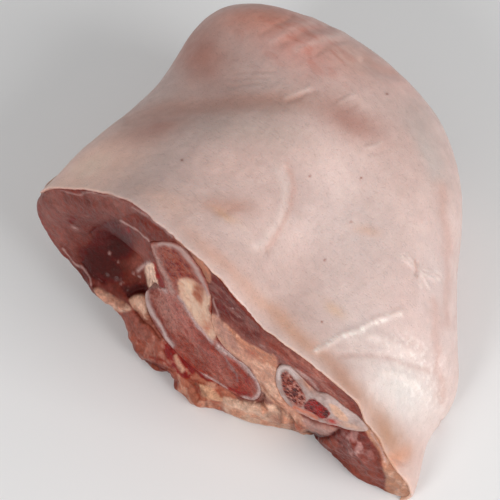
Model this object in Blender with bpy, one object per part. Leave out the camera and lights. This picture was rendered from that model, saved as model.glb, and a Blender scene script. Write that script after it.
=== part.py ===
"""Pork hock: the knee end of a pig's hind leg, sawn off above the ankle.

It lies on its skinless underside. The leg runs along Y: the wide knee cut
faces -Y and the smaller ankle cut faces +Y. X is the width, Z is up, and
the origin is at the centre of the footprint, on the surface it lies on.
Sizes are in millimetres until a mesh is made.
"""
import math

import bmesh
import bpy
import numpy as np

MM = 0.001
GAP = 0.3

# How finely the leg and its bones are divided
AROUND = 96
ALONG = 18
ALONG_SHOULDER = 7
FACE_RINGS = 12
BONE_AROUND = 28
BONE_ALONG = 12
BONE_FACE_RINGS = 4
SHARP_FROM = 40

# The leg's section at evenly spaced stations from the knee cut to the ankle
MIDDLE_X = (3, -4, -10, -17, -19)
MIDDLE_Z = (40, 40, 41, 41, 38)
HALF_LEFT = (70, 68, 66, 64, 58)
HALF_RIGHT = (83, 77, 71, 64, 46)
CROWN = (49, 45, 42, 38, 26)
BELOW = 46
SQUARENESS_TOP = 2.0
SQUARENESS_LOW_LEFT = 2.2
SQUARENESS_LOW_RIGHT = 4.5

# The ankle end: where the leg starts to round off, and what is left of it
SHOULDER_START = 0.80
SHOULDER_KEEPS = 0.62

# Soft swellings and dents of the skin: height, angle, reach in degrees,
# place along the leg, reach along the leg
SWELLINGS = {
    "slope_to_shin": (-20, 32, 34, 0.10, 0.60),
    "saddle_behind_knee": (-7, 143, 28, 0.48, 0.18),
    "calf_crown": (6, 136, 32, 0.80, 0.15),
    "trimmed_corner": (-16, 217, 23, 0.00, 0.35),
    "right_flank": (14, -27, 26, 0.42, 0.20),
    "rim_over_hollow": (2.7, 112, 13, 0.00, 0.20),
    "rim_low_left": (-1.5, 147, 10, 0.00, 0.20),
    "rim_over_strip": (2.6, 28, 11, 0.00, 0.20),
    "rim_waist": (-4, 2, 6, 0.00, 0.15),
}

# The knee cut: how far it stands forward, and how it falls back sideways
FACE_Y = -45
FACE_MIDDLE_X = -10
FALL_RIGHT = 12
FALL_RIGHT_SPAN = 80
FALL_LEFT = -6
FALL_LEFT_SPAN = 62
ANKLE_Y = 79

# The pointed toe of rind at the low right corner of the knee cut
TOE = 16
TOE_HEIGHT = 30
TOE_LENGTH = 0.30
TOE_START_X = 10
TOE_SPAN_X = 60
TOE_LOW_POWER = 1.5
TOE_RIGHT_POWER = 2

# Relief of the knee cut: x, z, reach in x, reach in z, how far it stands
# forward (less than nothing is a hollow)
FACE_RELIEF = {
    "muscle_hollow": (-29, 40, 15, 14, -11),
    "hollow_deep_end": (-19, 35, 6, 7, -7),
    "left_fat": (-38, 19, 9, 7, 3),
    "torn_flap": (-17, 8, 11, 13, 4),
    "lower_fat": (6, 0, 17, 15, 6),
    "lower_notch": (48, 0, 15, 14, -8),
    "right_muscle": (76, 20, 11, 10, 2),
    "rind_strip": (38, 58, 22, 7, 1.5),
}

# Bones, from the knee cut to the ankle cut: middle in x and z, long and
# short half widths, all at evenly spaced stations
SHIN_MIDDLE_X = (12, 6, -3, -11, -18, -24)
SHIN_MIDDLE_Z = (46, 44, 40, 37, 35, 33)
SHIN_LONG = (37, 29, 19, 14, 14, 17)
SHIN_SHORT = (17, 16, 14, 12, 11, 13)
SHIN_TILT = 107
CALF_MIDDLE_X = (54, 44, 32, 20, 9, 1)
CALF_MIDDLE_Z = (40, 38, 36, 35, 34, 33)
CALF_LONG = (16, 10, 6, 5, 5, 7)
CALF_SHORT = (9, 7, 5, 4, 4, 5)
CALF_TILT = -16
BONE_STANDS_PROUD = 1.0
BONE_EDGE = 1.6
BONE_EDGE_KEEPS = 0.93
CHANNEL_PAST = 20

# Colours read off the photograph, as red, green and blue in linear light
MEAT_COLOUR = (0.50, 0.29, 0.25)
SHIN_COLOUR = (0.42, 0.16, 0.12)
CALF_COLOUR = (0.55, 0.36, 0.31)


def clear_scene():
    """Remove every object that the file starts with."""
    for thing in list(bpy.data.objects):
        bpy.data.objects.remove(thing, do_unlink=True)


def material(name, colour, roughness):
    """A plain material with the colour and the gloss of one tissue."""
    made = bpy.data.materials.new(name)
    made.use_nodes = True
    shader = made.node_tree.nodes["Principled BSDF"]
    shader.inputs["Base Color"].default_value = (*colour, 1.0)
    shader.inputs["Roughness"].default_value = roughness
    made.diffuse_color = (*colour, 1.0)
    return made


def along(v, values):
    """A smooth curve through evenly spaced values, read at v from 0 to 1."""
    knots = np.array((values[0], *values, values[-1]), float)
    place = np.clip(v, 0.0, 1.0) * (len(values) - 1)
    step = np.minimum(place.astype(int), len(values) - 2)
    t = place - step
    before, start, end, after = (knots[step + k] for k in range(4))
    slope_in = (end - before) / 2
    slope_out = (after - start) / 2
    return ((2 * t**3 - 3 * t**2 + 1) * start + (t**3 - 2 * t**2 + t) * slope_in
            + (3 * t**2 - 2 * t**3) * end + (t**3 - t**2) * slope_out)


def bump(distance, reach):
    """A soft bell: 1 in the middle, fading with the distance over reach."""
    return np.exp(-(distance / reach) ** 2)


def toe_share(x, z):
    """0 to 1 towards the low right corner of the section."""
    low = np.clip(1 - z / TOE_HEIGHT, 0, 1)
    right = np.clip((x - TOE_START_X) / TOE_SPAN_X, 0, 1)
    return low**TOE_LOW_POWER * right**TOE_RIGHT_POWER


def leg_section(angle, v):
    """The x and z of the skin at an angle round the leg, v along it."""
    cos, sin = np.cos(angle), np.sin(angle)
    width = np.where(cos < 0, along(v, HALF_LEFT), along(v, HALF_RIGHT))
    height = np.where(sin < 0, BELOW, along(v, CROWN))
    below = np.where(cos < 0, SQUARENESS_LOW_LEFT, SQUARENESS_LOW_RIGHT)
    power = np.where(sin < 0, below, SQUARENESS_TOP)
    radius = (np.abs(cos / width) ** power + np.abs(sin / height) ** power) ** (-1 / power)
    for swell, middle, reach, place, length in SWELLINGS.values():
        turn = (angle - math.radians(middle) + math.pi) % (2 * math.pi) - math.pi
        radius = radius + swell * bump(turn, math.radians(reach)) * bump(v - place, length)
    end = np.clip((v - SHOULDER_START) / (1 - SHOULDER_START), 0, 1)
    radius = radius * (SHOULDER_KEEPS + (1 - SHOULDER_KEEPS) * np.sqrt(1 - end**2))
    x = along(v, MIDDLE_X) + radius * cos
    z = np.maximum(along(v, MIDDLE_Z) + radius * sin, 0.0)
    return x + TOE * toe_share(x, z) * bump(v, TOE_LENGTH), z


def cut_plane(x):
    """The y of the knee cut before its relief: bowed forward in plan."""
    side = x - FACE_MIDDLE_X
    right = FALL_RIGHT * (side / FALL_RIGHT_SPAN) ** 2
    left = FALL_LEFT * (side / FALL_LEFT_SPAN) ** 2
    return FACE_Y + np.where(side > 0, right, left)


def knee_cut(x, z):
    """The y of the knee cut with its muscles, hollow and lumps of fat."""
    y = cut_plane(x)
    for middle_x, middle_z, reach_x, reach_z, forward in FACE_RELIEF.values():
        y = y - forward * bump(x - middle_x, reach_x) * bump(z - middle_z, reach_z)
    return y


def bone_section(angle, v, bone, grow):
    """The x and z of a bone's surface: a tilted oval, grow wider all round."""
    middle_x, middle_z, long_half, short_half, tilt = bone
    long_way = (along(v, long_half) + grow) * np.cos(angle)
    short_way = (along(v, short_half) + grow) * np.sin(angle)
    turn = math.radians(tilt)
    x = along(v, middle_x) + long_way * math.cos(turn) - short_way * math.sin(turn)
    z = along(v, middle_z) + long_way * math.sin(turn) + short_way * math.cos(turn)
    return x, z


def cap_rings(rim, middle, surface, rings):
    """Rings that shrink from the rim to the middle over a cut surface."""
    made = []
    for k in range(1, rings):
        share = 1 - k / rings
        x = middle[0] + share * (rim[:, 0] - middle[0])
        z = middle[1] + share * (rim[:, 2] - middle[1])
        made.append(np.stack([x, surface(x, z), z], axis=-1))
    return made


def loft(name, rings, first_pole, last_pole, finish):
    """One closed object: a skin over the rings, closed by a fan at each end."""
    shape = bmesh.new()
    offset = footprint_middle()
    rows = [[shape.verts.new((point - offset) * MM) for point in ring] for ring in rings]
    count = len(rings[0])
    for near, far in zip(rows, rows[1:]):
        for k in range(count):
            after = (k + 1) % count
            shape.faces.new((near[k], near[after], far[after], far[k]))
    for row, pole, turned in ((rows[0], first_pole, True), (rows[-1], last_pole, False)):
        tip = shape.verts.new((np.array(pole, float) - offset) * MM)
        for k in range(count):
            after = (k + 1) % count
            corners = (row[after], row[k], tip) if turned else (row[k], row[after], tip)
            shape.faces.new(corners)
    bmesh.ops.recalc_face_normals(shape, faces=shape.faces)
    bmesh.ops.triangulate(shape, faces=shape.faces)
    mesh = bpy.data.meshes.new(name)
    shape.to_mesh(mesh)
    shape.free()
    mesh.shade_smooth()
    mesh.set_sharp_from_angle(angle=math.radians(SHARP_FROM))
    thing = bpy.data.objects.new(name, mesh)
    bpy.context.collection.objects.link(thing)
    if finish:
        mesh.materials.append(finish)
    return thing


def stations():
    """Places along the leg, closer together where it rounds off."""
    shoulder = np.sin(np.linspace(0, math.pi / 2, ALONG_SHOULDER + 1))[1:]
    return (*np.linspace(0, SHOULDER_START, ALONG),
            *(SHOULDER_START + (1 - SHOULDER_START) * shoulder))


def leg_rings():
    """Rings round the leg, from the rim of the knee cut to the ankle cut."""
    angle = np.arange(AROUND) * 2 * math.pi / AROUND
    rings = []
    for v in stations():
        x, z = leg_section(angle, v)
        front = knee_cut(x, z)
        rings.append(np.stack([x, front + (ANKLE_Y - front) * v, z], axis=-1))
    return rings


def knee_rings(rim):
    """Rings over the knee cut, from its rim inwards."""
    return cap_rings(rim, (MIDDLE_X[0], MIDDLE_Z[0]), knee_cut, FACE_RINGS)


def footprint_middle():
    """The point on the ground that becomes the origin."""
    sides = leg_rings()
    points = np.concatenate(sides + knee_rings(sides[0]))
    middle = (points.min(axis=0) + points.max(axis=0)) / 2
    return np.array([middle[0], middle[1], 0.0])


def make_meat(finish):
    """Muscle, fat and rind in one solid, before the bones' channels."""
    sides = leg_rings()
    middle = np.array([MIDDLE_X[0], MIDDLE_Z[0]], float)
    knee_pole = (middle[0], float(knee_cut(*middle)), middle[1])
    ankle_pole = (MIDDLE_X[-1], ANKLE_Y, MIDDLE_Z[-1])
    rings = knee_rings(sides[0])[::-1] + sides
    return loft("hock_meat", rings, knee_pole, ankle_pole, finish)


def bone_rings(bone, grow):
    """Rings of a bone from the knee cut to the ankle cut.

    The second ring lies where the bone's rounded edge ends. The places
    along the bone don't change with grow, so a channel follows its bone.
    """
    angle = np.arange(BONE_AROUND) * 2 * math.pi / BONE_AROUND
    edge = BONE_EDGE / (ANKLE_Y - FACE_Y)
    rings = []
    for v in (0, *np.linspace(edge, 1, BONE_ALONG)):
        front = knee_cut(*bone_section(angle, v, bone, 0))
        x, z = bone_section(angle, v, bone, grow)
        rings.append(np.stack([x, front + (ANKLE_Y - front) * v, z], axis=-1))
    return rings


def make_bone(name, bone, finish):
    """A bone whose end stands a little proud of the knee cut."""
    rings = bone_rings(bone, 0)[1:]
    middle = (bone[0][0], bone[1][0])

    def face(x, z):
        return knee_cut(x, z) - BONE_STANDS_PROUD

    rim = bone_rings(bone, 0)[0]
    rim[:, 0] = middle[0] + BONE_EDGE_KEEPS * (rim[:, 0] - middle[0])
    rim[:, 2] = middle[1] + BONE_EDGE_KEEPS * (rim[:, 2] - middle[1])
    rim[:, 1] = face(rim[:, 0], rim[:, 2])
    face_rings = cap_rings(rim, middle, face, BONE_FACE_RINGS)
    knee_pole = (middle[0], float(face(*map(float, middle))), middle[1])
    ankle_pole = (bone[0][-1], ANKLE_Y, bone[1][-1])
    return loft(name, face_rings[::-1] + [rim] + rings, knee_pole, ankle_pole, finish)


def cut_channel(meat, name, bone):
    """Cut the channel that a bone lies in, a hair wider than the bone."""
    rings = bone_rings(bone, GAP)
    reach = np.array([0, CHANNEL_PAST, 0])
    rings = [rings[0] - reach, *rings, rings[-1] + reach]
    knee_pole = (bone[0][0], FACE_Y - 2 * CHANNEL_PAST, bone[1][0])
    ankle_pole = (bone[0][-1], ANKLE_Y + 2 * CHANNEL_PAST, bone[1][-1])
    cutter = loft(name, rings, knee_pole, ankle_pole, None)
    cutter.hide_render = True
    cutter.display_type = "WIRE"
    cut = meat.modifiers.new(name, "BOOLEAN")
    cut.operation = "DIFFERENCE"
    cut.solver = "EXACT"
    cut.object = cutter


clear_scene()
shin_bone = (SHIN_MIDDLE_X, SHIN_MIDDLE_Z, SHIN_LONG, SHIN_SHORT, SHIN_TILT)
calf_bone = (CALF_MIDDLE_X, CALF_MIDDLE_Z, CALF_LONG, CALF_SHORT, CALF_TILT)
meat_object = make_meat(material("pork_meat", MEAT_COLOUR, 0.45))
cut_channel(meat_object, "shin_channel", shin_bone)
cut_channel(meat_object, "calf_channel", calf_bone)
make_bone("shin_bone", shin_bone, material("sawn_bone", SHIN_COLOUR, 0.5))
make_bone("calf_bone", calf_bone, material("small_bone", CALF_COLOUR, 0.5))
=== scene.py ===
# %% [markdown]
# # A raw pork hock
#
# The object is the knee end of a pig's hind leg, lying on its skinless
# underside. It has three things to show: a pale, soft, slightly wrinkled rind;
# a broad cut across the knee with dark muscle, cream fat and sawn bone; and
# lumps of fat and torn meat along the lower edge of that cut.
#
# The solids already hold the true form. This lesson dresses them with finer
# surfaces that follow the same sizes, so it starts by loading them.

# %% Load the frame
import math

import bpy
import numpy as np
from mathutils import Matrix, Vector


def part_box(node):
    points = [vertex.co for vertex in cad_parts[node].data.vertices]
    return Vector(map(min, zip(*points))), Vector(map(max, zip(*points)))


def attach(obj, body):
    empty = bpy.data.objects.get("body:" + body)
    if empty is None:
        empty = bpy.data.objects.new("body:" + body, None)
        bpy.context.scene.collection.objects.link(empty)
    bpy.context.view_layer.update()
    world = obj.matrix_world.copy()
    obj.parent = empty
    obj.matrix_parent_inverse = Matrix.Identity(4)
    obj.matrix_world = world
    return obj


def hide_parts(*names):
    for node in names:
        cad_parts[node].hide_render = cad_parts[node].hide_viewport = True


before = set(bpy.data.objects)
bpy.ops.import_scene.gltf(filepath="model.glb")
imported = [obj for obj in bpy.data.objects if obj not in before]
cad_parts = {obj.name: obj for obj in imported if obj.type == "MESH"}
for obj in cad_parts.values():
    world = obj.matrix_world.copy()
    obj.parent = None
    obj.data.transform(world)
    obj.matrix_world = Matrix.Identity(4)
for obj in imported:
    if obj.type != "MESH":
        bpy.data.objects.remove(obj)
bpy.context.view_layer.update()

# %% [markdown]
# ## The form of the leg
#
# A leg of meat has no straight edge, so it can't be drawn as a box or a
# cylinder. Here its section is a rounded square whose half widths change along
# the leg, with a few soft swellings on top. One formula gives a point of the
# skin for any angle round the leg and any place along it. Sizes are in
# millimetres until a mesh is made.

# %% Sizes of the leg, in millimetres
MM = 0.001
MIDDLE_X = (3, -4, -10, -17, -19)
MIDDLE_Z = (40, 40, 41, 41, 38)
HALF_LEFT = (70, 68, 66, 64, 58)
HALF_RIGHT = (83, 77, 71, 64, 46)
CROWN = (49, 45, 42, 38, 26)
BELOW = 46
SQUARE_TOP = 2.0
SQUARE_LOW_LEFT = 2.2
SQUARE_LOW_RIGHT = 4.5
SHOULDER_START = 0.80
SHOULDER_KEEPS = 0.62

# Each swelling: height, angle and its reach in degrees, place and reach along
SWELLINGS = {
    "slope_to_shin": (-20, 32, 34, 0.10, 0.60),
    "saddle_behind_knee": (-7, 143, 28, 0.48, 0.18),
    "calf_crown": (6, 136, 32, 0.80, 0.15),
    "trimmed_corner": (-16, 217, 23, 0.00, 0.35),
    "right_flank": (14, -27, 26, 0.42, 0.20),
    "rim_over_hollow": (2.7, 112, 13, 0.00, 0.20),
    "rim_low_left": (-1.5, 147, 10, 0.00, 0.20),
    "rim_over_strip": (2.6, 28, 11, 0.00, 0.20),
    "rim_waist": (-4, 2, 6, 0.00, 0.15),
}

# The knee cut and the toe of rind at its low right corner
FACE_Y = -45
FACE_MIDDLE_X = -10
FALL_RIGHT, FALL_RIGHT_SPAN = 12, 80
FALL_LEFT, FALL_LEFT_SPAN = -6, 62
ANKLE_Y = 79
TOE, TOE_HEIGHT, TOE_LENGTH = 16, 30, 0.30
TOE_START_X, TOE_SPAN_X = 10, 60

# Relief of the knee cut: x, z, reach in x, reach in z, how far forward
FACE_RELIEF = {
    "muscle_hollow": (-29, 40, 15, 14, -11),
    "hollow_deep_end": (-19, 35, 6, 7, -7),
    "left_fat": (-38, 19, 9, 7, 3),
    "torn_flap": (-17, 8, 11, 13, 4),
    "lower_fat": (6, 0, 17, 15, 6),
    "lower_notch": (48, 0, 15, 14, -8),
    "right_muscle": (76, 20, 11, 10, 2),
    "rind_strip": (38, 58, 22, 7, 1.5),
}


# %% Curves along the leg
def along(v, values):
    """A smooth curve through evenly spaced values, read at v from 0 to 1."""
    knots = np.array((values[0], *values, values[-1]), float)
    place = np.clip(v, 0.0, 1.0) * (len(values) - 1)
    step = np.minimum(place.astype(int), len(values) - 2)
    t = place - step
    before, start, end, after = (knots[step + k] for k in range(4))
    slope_in = (end - before) / 2
    slope_out = (after - start) / 2
    return ((2 * t**3 - 3 * t**2 + 1) * start + (t**3 - 2 * t**2 + t) * slope_in
            + (3 * t**2 - 2 * t**3) * end + (t**3 - t**2) * slope_out)


def bump(distance, reach):
    """A soft bell: 1 in the middle, fading with the distance over reach."""
    return np.exp(-(distance / reach) ** 2)


def ease(value, low, high):
    """0 below low, 1 above high, and a soft S between them."""
    t = np.clip((value - low) / (high - low), 0.0, 1.0)
    return t * t * (3 - 2 * t)


# %% The skin's section
def leg_section(angle, v, inset=0.0):
    """x and z of the skin: a rounded square plus the swellings, inset inwards."""
    angle, v = np.broadcast_arrays(np.asarray(angle, float), np.asarray(v, float))
    cos, sin = np.cos(angle), np.sin(angle)
    width = np.where(cos < 0, along(v, HALF_LEFT), along(v, HALF_RIGHT))
    height = np.where(sin < 0, BELOW, along(v, CROWN))
    below = np.where(cos < 0, SQUARE_LOW_LEFT, SQUARE_LOW_RIGHT)
    power = np.where(sin < 0, below, SQUARE_TOP)
    radius = (np.abs(cos / width) ** power + np.abs(sin / height) ** power) ** (-1 / power)
    for swell, middle, reach, place, length in SWELLINGS.values():
        turn = (angle - math.radians(middle) + math.pi) % (2 * math.pi) - math.pi
        radius = radius + swell * bump(turn, math.radians(reach)) * bump(v - place, length)
    end = np.clip((v - SHOULDER_START) / (1 - SHOULDER_START), 0, 1)
    radius = radius * (SHOULDER_KEEPS + (1 - SHOULDER_KEEPS) * np.sqrt(1 - end**2)) - inset
    x = along(v, MIDDLE_X) + radius * cos
    z = np.maximum(along(v, MIDDLE_Z) + radius * sin, 0.0)
    low = np.clip(1 - z / TOE_HEIGHT, 0, 1)
    right = np.clip((x - TOE_START_X) / TOE_SPAN_X, 0, 1)
    return x + TOE * low**1.5 * right**2 * bump(v, TOE_LENGTH), z


def knee_cut(x, z):
    """y of the knee cut: bowed forward in plan, with its hollows and lumps."""
    side = x - FACE_MIDDLE_X
    right = FALL_RIGHT * (side / FALL_RIGHT_SPAN) ** 2
    left = FALL_LEFT * (side / FALL_LEFT_SPAN) ** 2
    y = FACE_Y + np.where(side > 0, right, left)
    for middle_x, middle_z, reach_x, reach_z, forward in FACE_RELIEF.values():
        y = y - forward * bump(x - middle_x, reach_x) * bump(z - middle_z, reach_z)
    return y


def leg_point(angle, v, inset=0.0):
    """A point of the skin, with y going evenly from the knee to the ankle."""
    x, z = leg_section(angle, v, inset)
    front = knee_cut(x, z)
    return np.stack([x, front + (ANKLE_Y - front) * v, z], axis=-1)


# %% Where the leg's own numbers lie in the frame
probe = leg_point(np.linspace(0, 2 * math.pi, 97)[None, :], np.linspace(0, 1, 60)[:, None])
node_low, node_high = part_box("hock_meat")
ORIGIN = np.array([
    (probe[..., 0].min() + probe[..., 0].max()) / 2 - (node_low.x + node_high.x) / 2 / MM,
    ANKLE_Y - node_high.y / MM,
    0.0,
])
print("origin of the frame in the leg's own numbers:", ORIGIN.round(2))

# %% [markdown]
# ## The camera, and places seen in the photograph
#
# The hock is seen from above, 55 degrees over the horizon, from the front
# right. Many details of the cut are easiest to name by where they are seen, so
# this camera also works backwards: a point of the leg gives the pixel it is
# seen at. A region of tissue is then an outline of a few named pixels, and it
# lies on whatever surface carries it.

# %% The camera
CAMERA_AZIMUTH = 43.5
CAMERA_HEIGHT = 55.0
LENS = 120.0
SENSOR = 36.0
IMAGE = 500
DISTANCE = 575.0
TARGET = np.array([-1.0, -9.0, 42.0])

turn, tip = math.radians(CAMERA_AZIMUTH), math.radians(CAMERA_HEIGHT)
view_back = np.array([math.sin(turn) * math.cos(tip), -math.cos(turn) * math.cos(tip), math.sin(tip)])
view_right = np.array([math.cos(turn), math.sin(turn), 0.0])
view_up = np.cross(view_back, view_right)
eye = TARGET + view_back * DISTANCE
PIXELS_PER_SLOPE = LENS / SENSOR * IMAGE

camera_data = bpy.data.cameras.new("camera")
camera_data.lens = LENS
camera_data.sensor_width = SENSOR
camera_data.clip_end = 20.0
camera = bpy.data.objects.new("camera", camera_data)
camera.location = (eye - ORIGIN) * MM
camera.rotation_euler = Vector(-view_back).to_track_quat("-Z", "Y").to_euler()
bpy.context.collection.objects.link(camera)
bpy.context.scene.camera = camera
print("camera at", (eye - ORIGIN).round(0))


# %% From a point to its pixel and back
def seen_at(points):
    """The pixel, counted from the top left corner, at which points are seen."""
    seen = points - eye
    depth = -(seen @ view_back)
    across = IMAGE / 2 + PIXELS_PER_SLOPE * (seen @ view_right) / depth
    down = IMAGE / 2 - PIXELS_PER_SLOPE * (seen @ view_up) / depth
    return np.stack([across, down], axis=-1)


def bone_cut(x, z):
    """y of the sawn bones: the knee cut without the deep end of its hollow."""
    middle_x, middle_z, reach_x, reach_z, forward = FACE_RELIEF["hollow_deep_end"]
    return knee_cut(x, z) + forward * bump(x - middle_x, reach_x) * bump(z - middle_z, reach_z)


SETTLING_STEPS = 90
SETTLING_SHARE = 0.4


def on_bone_cut(pixels):
    """x and z on the bones' cut at which pixels are seen.

    Each step goes along the line of sight by a share of what is left in y.
    """
    pixels = np.asarray(pixels, float)
    ray = ((pixels[:, :1] - IMAGE / 2) / PIXELS_PER_SLOPE * view_right
           - (pixels[:, 1:] - IMAGE / 2) / PIXELS_PER_SLOPE * view_up - view_back)
    reach = (FACE_Y - eye[1]) / ray[:, 1]
    for _ in range(SETTLING_STEPS):
        place = eye + ray * reach[:, None]
        reach = reach + SETTLING_SHARE * (bone_cut(place[:, 0], place[:, 2]) - place[:, 1]) / ray[:, 1]
    return (eye + ray * reach[:, None])[:, [0, 2]]


print("the camera's target is seen at", seen_at(TARGET[None]).round(0))

# %% [markdown]
# ## Tools for shapes
#
# A surface is an array of points first and a mesh last. Two helpers turn
# arrays into faces: one joins the rows of a grid or of a closed tube, and one
# joins a fine row to a coarse one. Natural unevenness comes from a cloud of
# noise that always gives the same value at the same place.


# %% Noise that repeats
def lattice(x, y, z, seed):
    """A value from -1 to 1 for each whole-numbered cell, by mixing its bits."""
    mixed = (x.astype(np.uint32) * np.uint32(2654435761) ^ y.astype(np.uint32) * np.uint32(2246822519)
             ^ z.astype(np.uint32) * np.uint32(3266489917) ^ np.uint32(seed * 668265263 % 2**32))
    mixed ^= mixed >> np.uint32(15)
    mixed *= np.uint32(739982445)
    mixed ^= mixed >> np.uint32(12)
    mixed *= np.uint32(695872825)
    mixed ^= mixed >> np.uint32(15)
    return mixed / 2.0**31 - 1.0


def one_cloud(points, seed):
    """Lattice values joined smoothly between the corners of each cell."""
    cell = np.floor(points).astype(np.int64)
    part = points - cell
    soft = part**3 * (part * (part * 6 - 15) + 10)
    total = 0.0
    for dx in (0, 1):
        for dy in (0, 1):
            for dz in (0, 1):
                corner = lattice(cell[..., 0] + dx, cell[..., 1] + dy, cell[..., 2] + dz, seed)
                weight = (np.abs(1 - dx - soft[..., 0]) * np.abs(1 - dy - soft[..., 1])
                          * np.abs(1 - dz - soft[..., 2]))
                total = total + corner * weight
    return total


# Each octave is turned against the last, so that their cells never line up
TILT_NOISE = np.array([[0.80, 0.36, -0.48], [-0.60, 0.48, -0.64], [0.0, 0.80, 0.60]])


def cloud(points, size, octaves=3, seed=1):
    """Noise from -1 to 1: clouds of one size, then of half the size, and so on."""
    place = np.asarray(points, float) / size
    total, share, whole = 0.0, 1.0, 0.0
    for octave in range(octaves):
        total = total + share * one_cloud(place + 17.3 * octave, seed + octave)
        whole += share
        place = place @ TILT_NOISE * 2.03
        share *= 0.5
    return total / whole * 1.6


# %% Faces from rows of points
def grid_faces(rows, columns, start=0, closed=False):
    """Four-cornered faces over rows of points, closed=True joins the last column."""
    row, column = np.meshgrid(np.arange(rows - 1), np.arange(columns - (not closed)), indexing="ij")
    after = (column + 1) % columns
    corners = (row * columns + column, row * columns + after,
               (row + 1) * columns + after, (row + 1) * columns + column)
    return np.stack(corners, axis=-1).reshape(-1, 4) + start


def joining_faces(fine, coarse):
    """Triangles between a fine closed row of point numbers and a coarse one."""
    ratio = len(fine) // len(coarse)
    steps = np.arange(len(coarse))
    near, far = coarse[steps], coarse[(steps + 1) % len(coarse)]
    made = []
    for k in range(ratio):
        start, end = (fine[(steps * ratio + k + j) % len(fine)] for j in (0, 1))
        made.append(np.stack([start, end, near if k < ratio / 2 else far], axis=-1))
    middle = fine[(steps * ratio + (ratio + 1) // 2) % len(fine)]
    made.append(np.stack([near, middle, far], axis=-1))
    return np.concatenate(made)


# %% From arrays to a mesh
def make_piece(name, points, quads, triangles, colours, numbers=None):
    """A mesh object at the origin, with a colour and numbers kept at its points."""
    mesh = bpy.data.meshes.new(name)
    mesh.vertices.add(len(points))
    mesh.vertices.foreach_set("co", ((points - ORIGIN) * MM).astype(np.float32).ravel())
    corners = np.concatenate([quads.ravel(), triangles.ravel()]).astype(np.int32)
    counts = np.concatenate([np.full(len(quads), 4), np.full(len(triangles), 3)])
    mesh.loops.add(len(corners))
    mesh.loops.foreach_set("vertex_index", corners)
    mesh.polygons.add(len(counts))
    starts = np.concatenate([[0], np.cumsum(counts)[:-1]]).astype(np.int32)
    mesh.polygons.foreach_set("loop_start", starts)
    mesh.update(calc_edges=True)
    mesh.validate()
    kept = mesh.attributes.new("tissue", "FLOAT_COLOR", "POINT")
    solid = np.concatenate([colours, np.ones((len(colours), 1))], axis=1)
    kept.data.foreach_set("color", solid.astype(np.float32).ravel())
    for label, values in (numbers or {}).items():
        kept = mesh.attributes.new(label, "FLOAT", "POINT")
        kept.data.foreach_set("value", np.asarray(values, np.float32).ravel())
    mesh.shade_smooth()
    piece = bpy.data.objects.new(name, mesh)
    bpy.context.collection.objects.link(piece)
    shown = len(quads) * 2 + len(triangles)
    print(f"{name}: {len(points)} points, {shown} triangles")
    return piece


# %% Outlines as smooth closed curves
def smooth_line(points, closed, fineness=8):
    """Points of a soft curve that runs through a few given ones."""
    knots = np.asarray(points, float)
    count = len(knots)
    spans = count if closed else count - 1
    place = np.arange(spans * fineness + (not closed)) / fineness
    step = np.minimum(place.astype(int), spans - 1)
    t = (place - step)[:, None]
    if closed:
        index = [(step + k) % count for k in (-1, 0, 1, 2)]
    else:
        index = [np.clip(step + k, 0, count - 1) for k in (-1, 0, 1, 2)]
    a, b, c, d = (knots[i] for i in index)
    return 0.5 * (2 * b + (c - a) * t + (2 * a - 5 * b + 4 * c - d) * t**2 + (3 * b - 3 * c + d - a) * t**3)


def distance_to(places, line, closed):
    """Distance from places to a curve, and for a closed one less than 0 inside."""
    flat = places.reshape(-1, 2)
    best = np.full(len(flat), 1e9)
    inside = np.zeros(len(flat), bool)
    ends = np.roll(line, -1, axis=0) if closed else line[1:]
    for start, end in zip(line if closed else line[:-1], ends):
        way = end - start
        share = np.clip((flat - start) @ way / max(way @ way, 1e-9), 0, 1)
        best = np.minimum(best, ((flat - start - share[:, None] * way) ** 2).sum(axis=1))
        crosses = (start[1] > flat[:, 1]) != (end[1] > flat[:, 1])
        if closed and crosses.any():
            at = start[0] + (flat[:, 1] - start[1]) * way[0] / (way[1] if way[1] else 1e-9)
            inside ^= crosses & (flat[:, 0] < at)
    best = np.sqrt(best)
    return np.where(inside, -best, best).reshape(places.shape[:-1])


def region(places, outline, softness=1.5):
    """1 inside an outline and 0 outside it, fading over softness pixels."""
    far = distance_to(places, smooth_line(outline, True), True)
    return 1 - ease(far, -softness / 2, softness / 2)


def streak(places, line, width):
    """1 on an open line, fading over width pixels to each side."""
    return bump(distance_to(places, smooth_line(line, False), False), width)


def blot(places, middle, reach_x, reach_y, tilt=0.0):
    """A soft oval spot round a pixel, turned by tilt degrees."""
    turn = math.radians(tilt)
    dx, dy = places[..., 0] - middle[0], places[..., 1] - middle[1]
    long_way = dx * math.cos(turn) + dy * math.sin(turn)
    short_way = dy * math.cos(turn) - dx * math.sin(turn)
    return bump(long_way, reach_x) * bump(short_way, reach_y)


# %% [markdown]
# ## Colours
#
# Meat colours are easy to make too red. These were set beside the photograph as
# ordinary screen colours, and are turned into linear light, which is what a
# shader works in. A tissue is never one flat colour, so softer tints are laid
# over it, one after another.


# %% Colours of the tissues
def ink(red, green, blue):
    """A screen colour from 0 to 255 as linear light from 0 to 1."""
    share = np.array([red, green, blue]) / 255.0
    return np.where(share <= 0.04045, share / 12.92, ((share + 0.055) / 1.055) ** 2.4)


def lay(base, share, colour):
    """Lay a colour over others, by a share from 0 to 1 at each point."""
    return base + np.clip(share, 0, 1)[..., None] * (colour - base)


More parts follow.
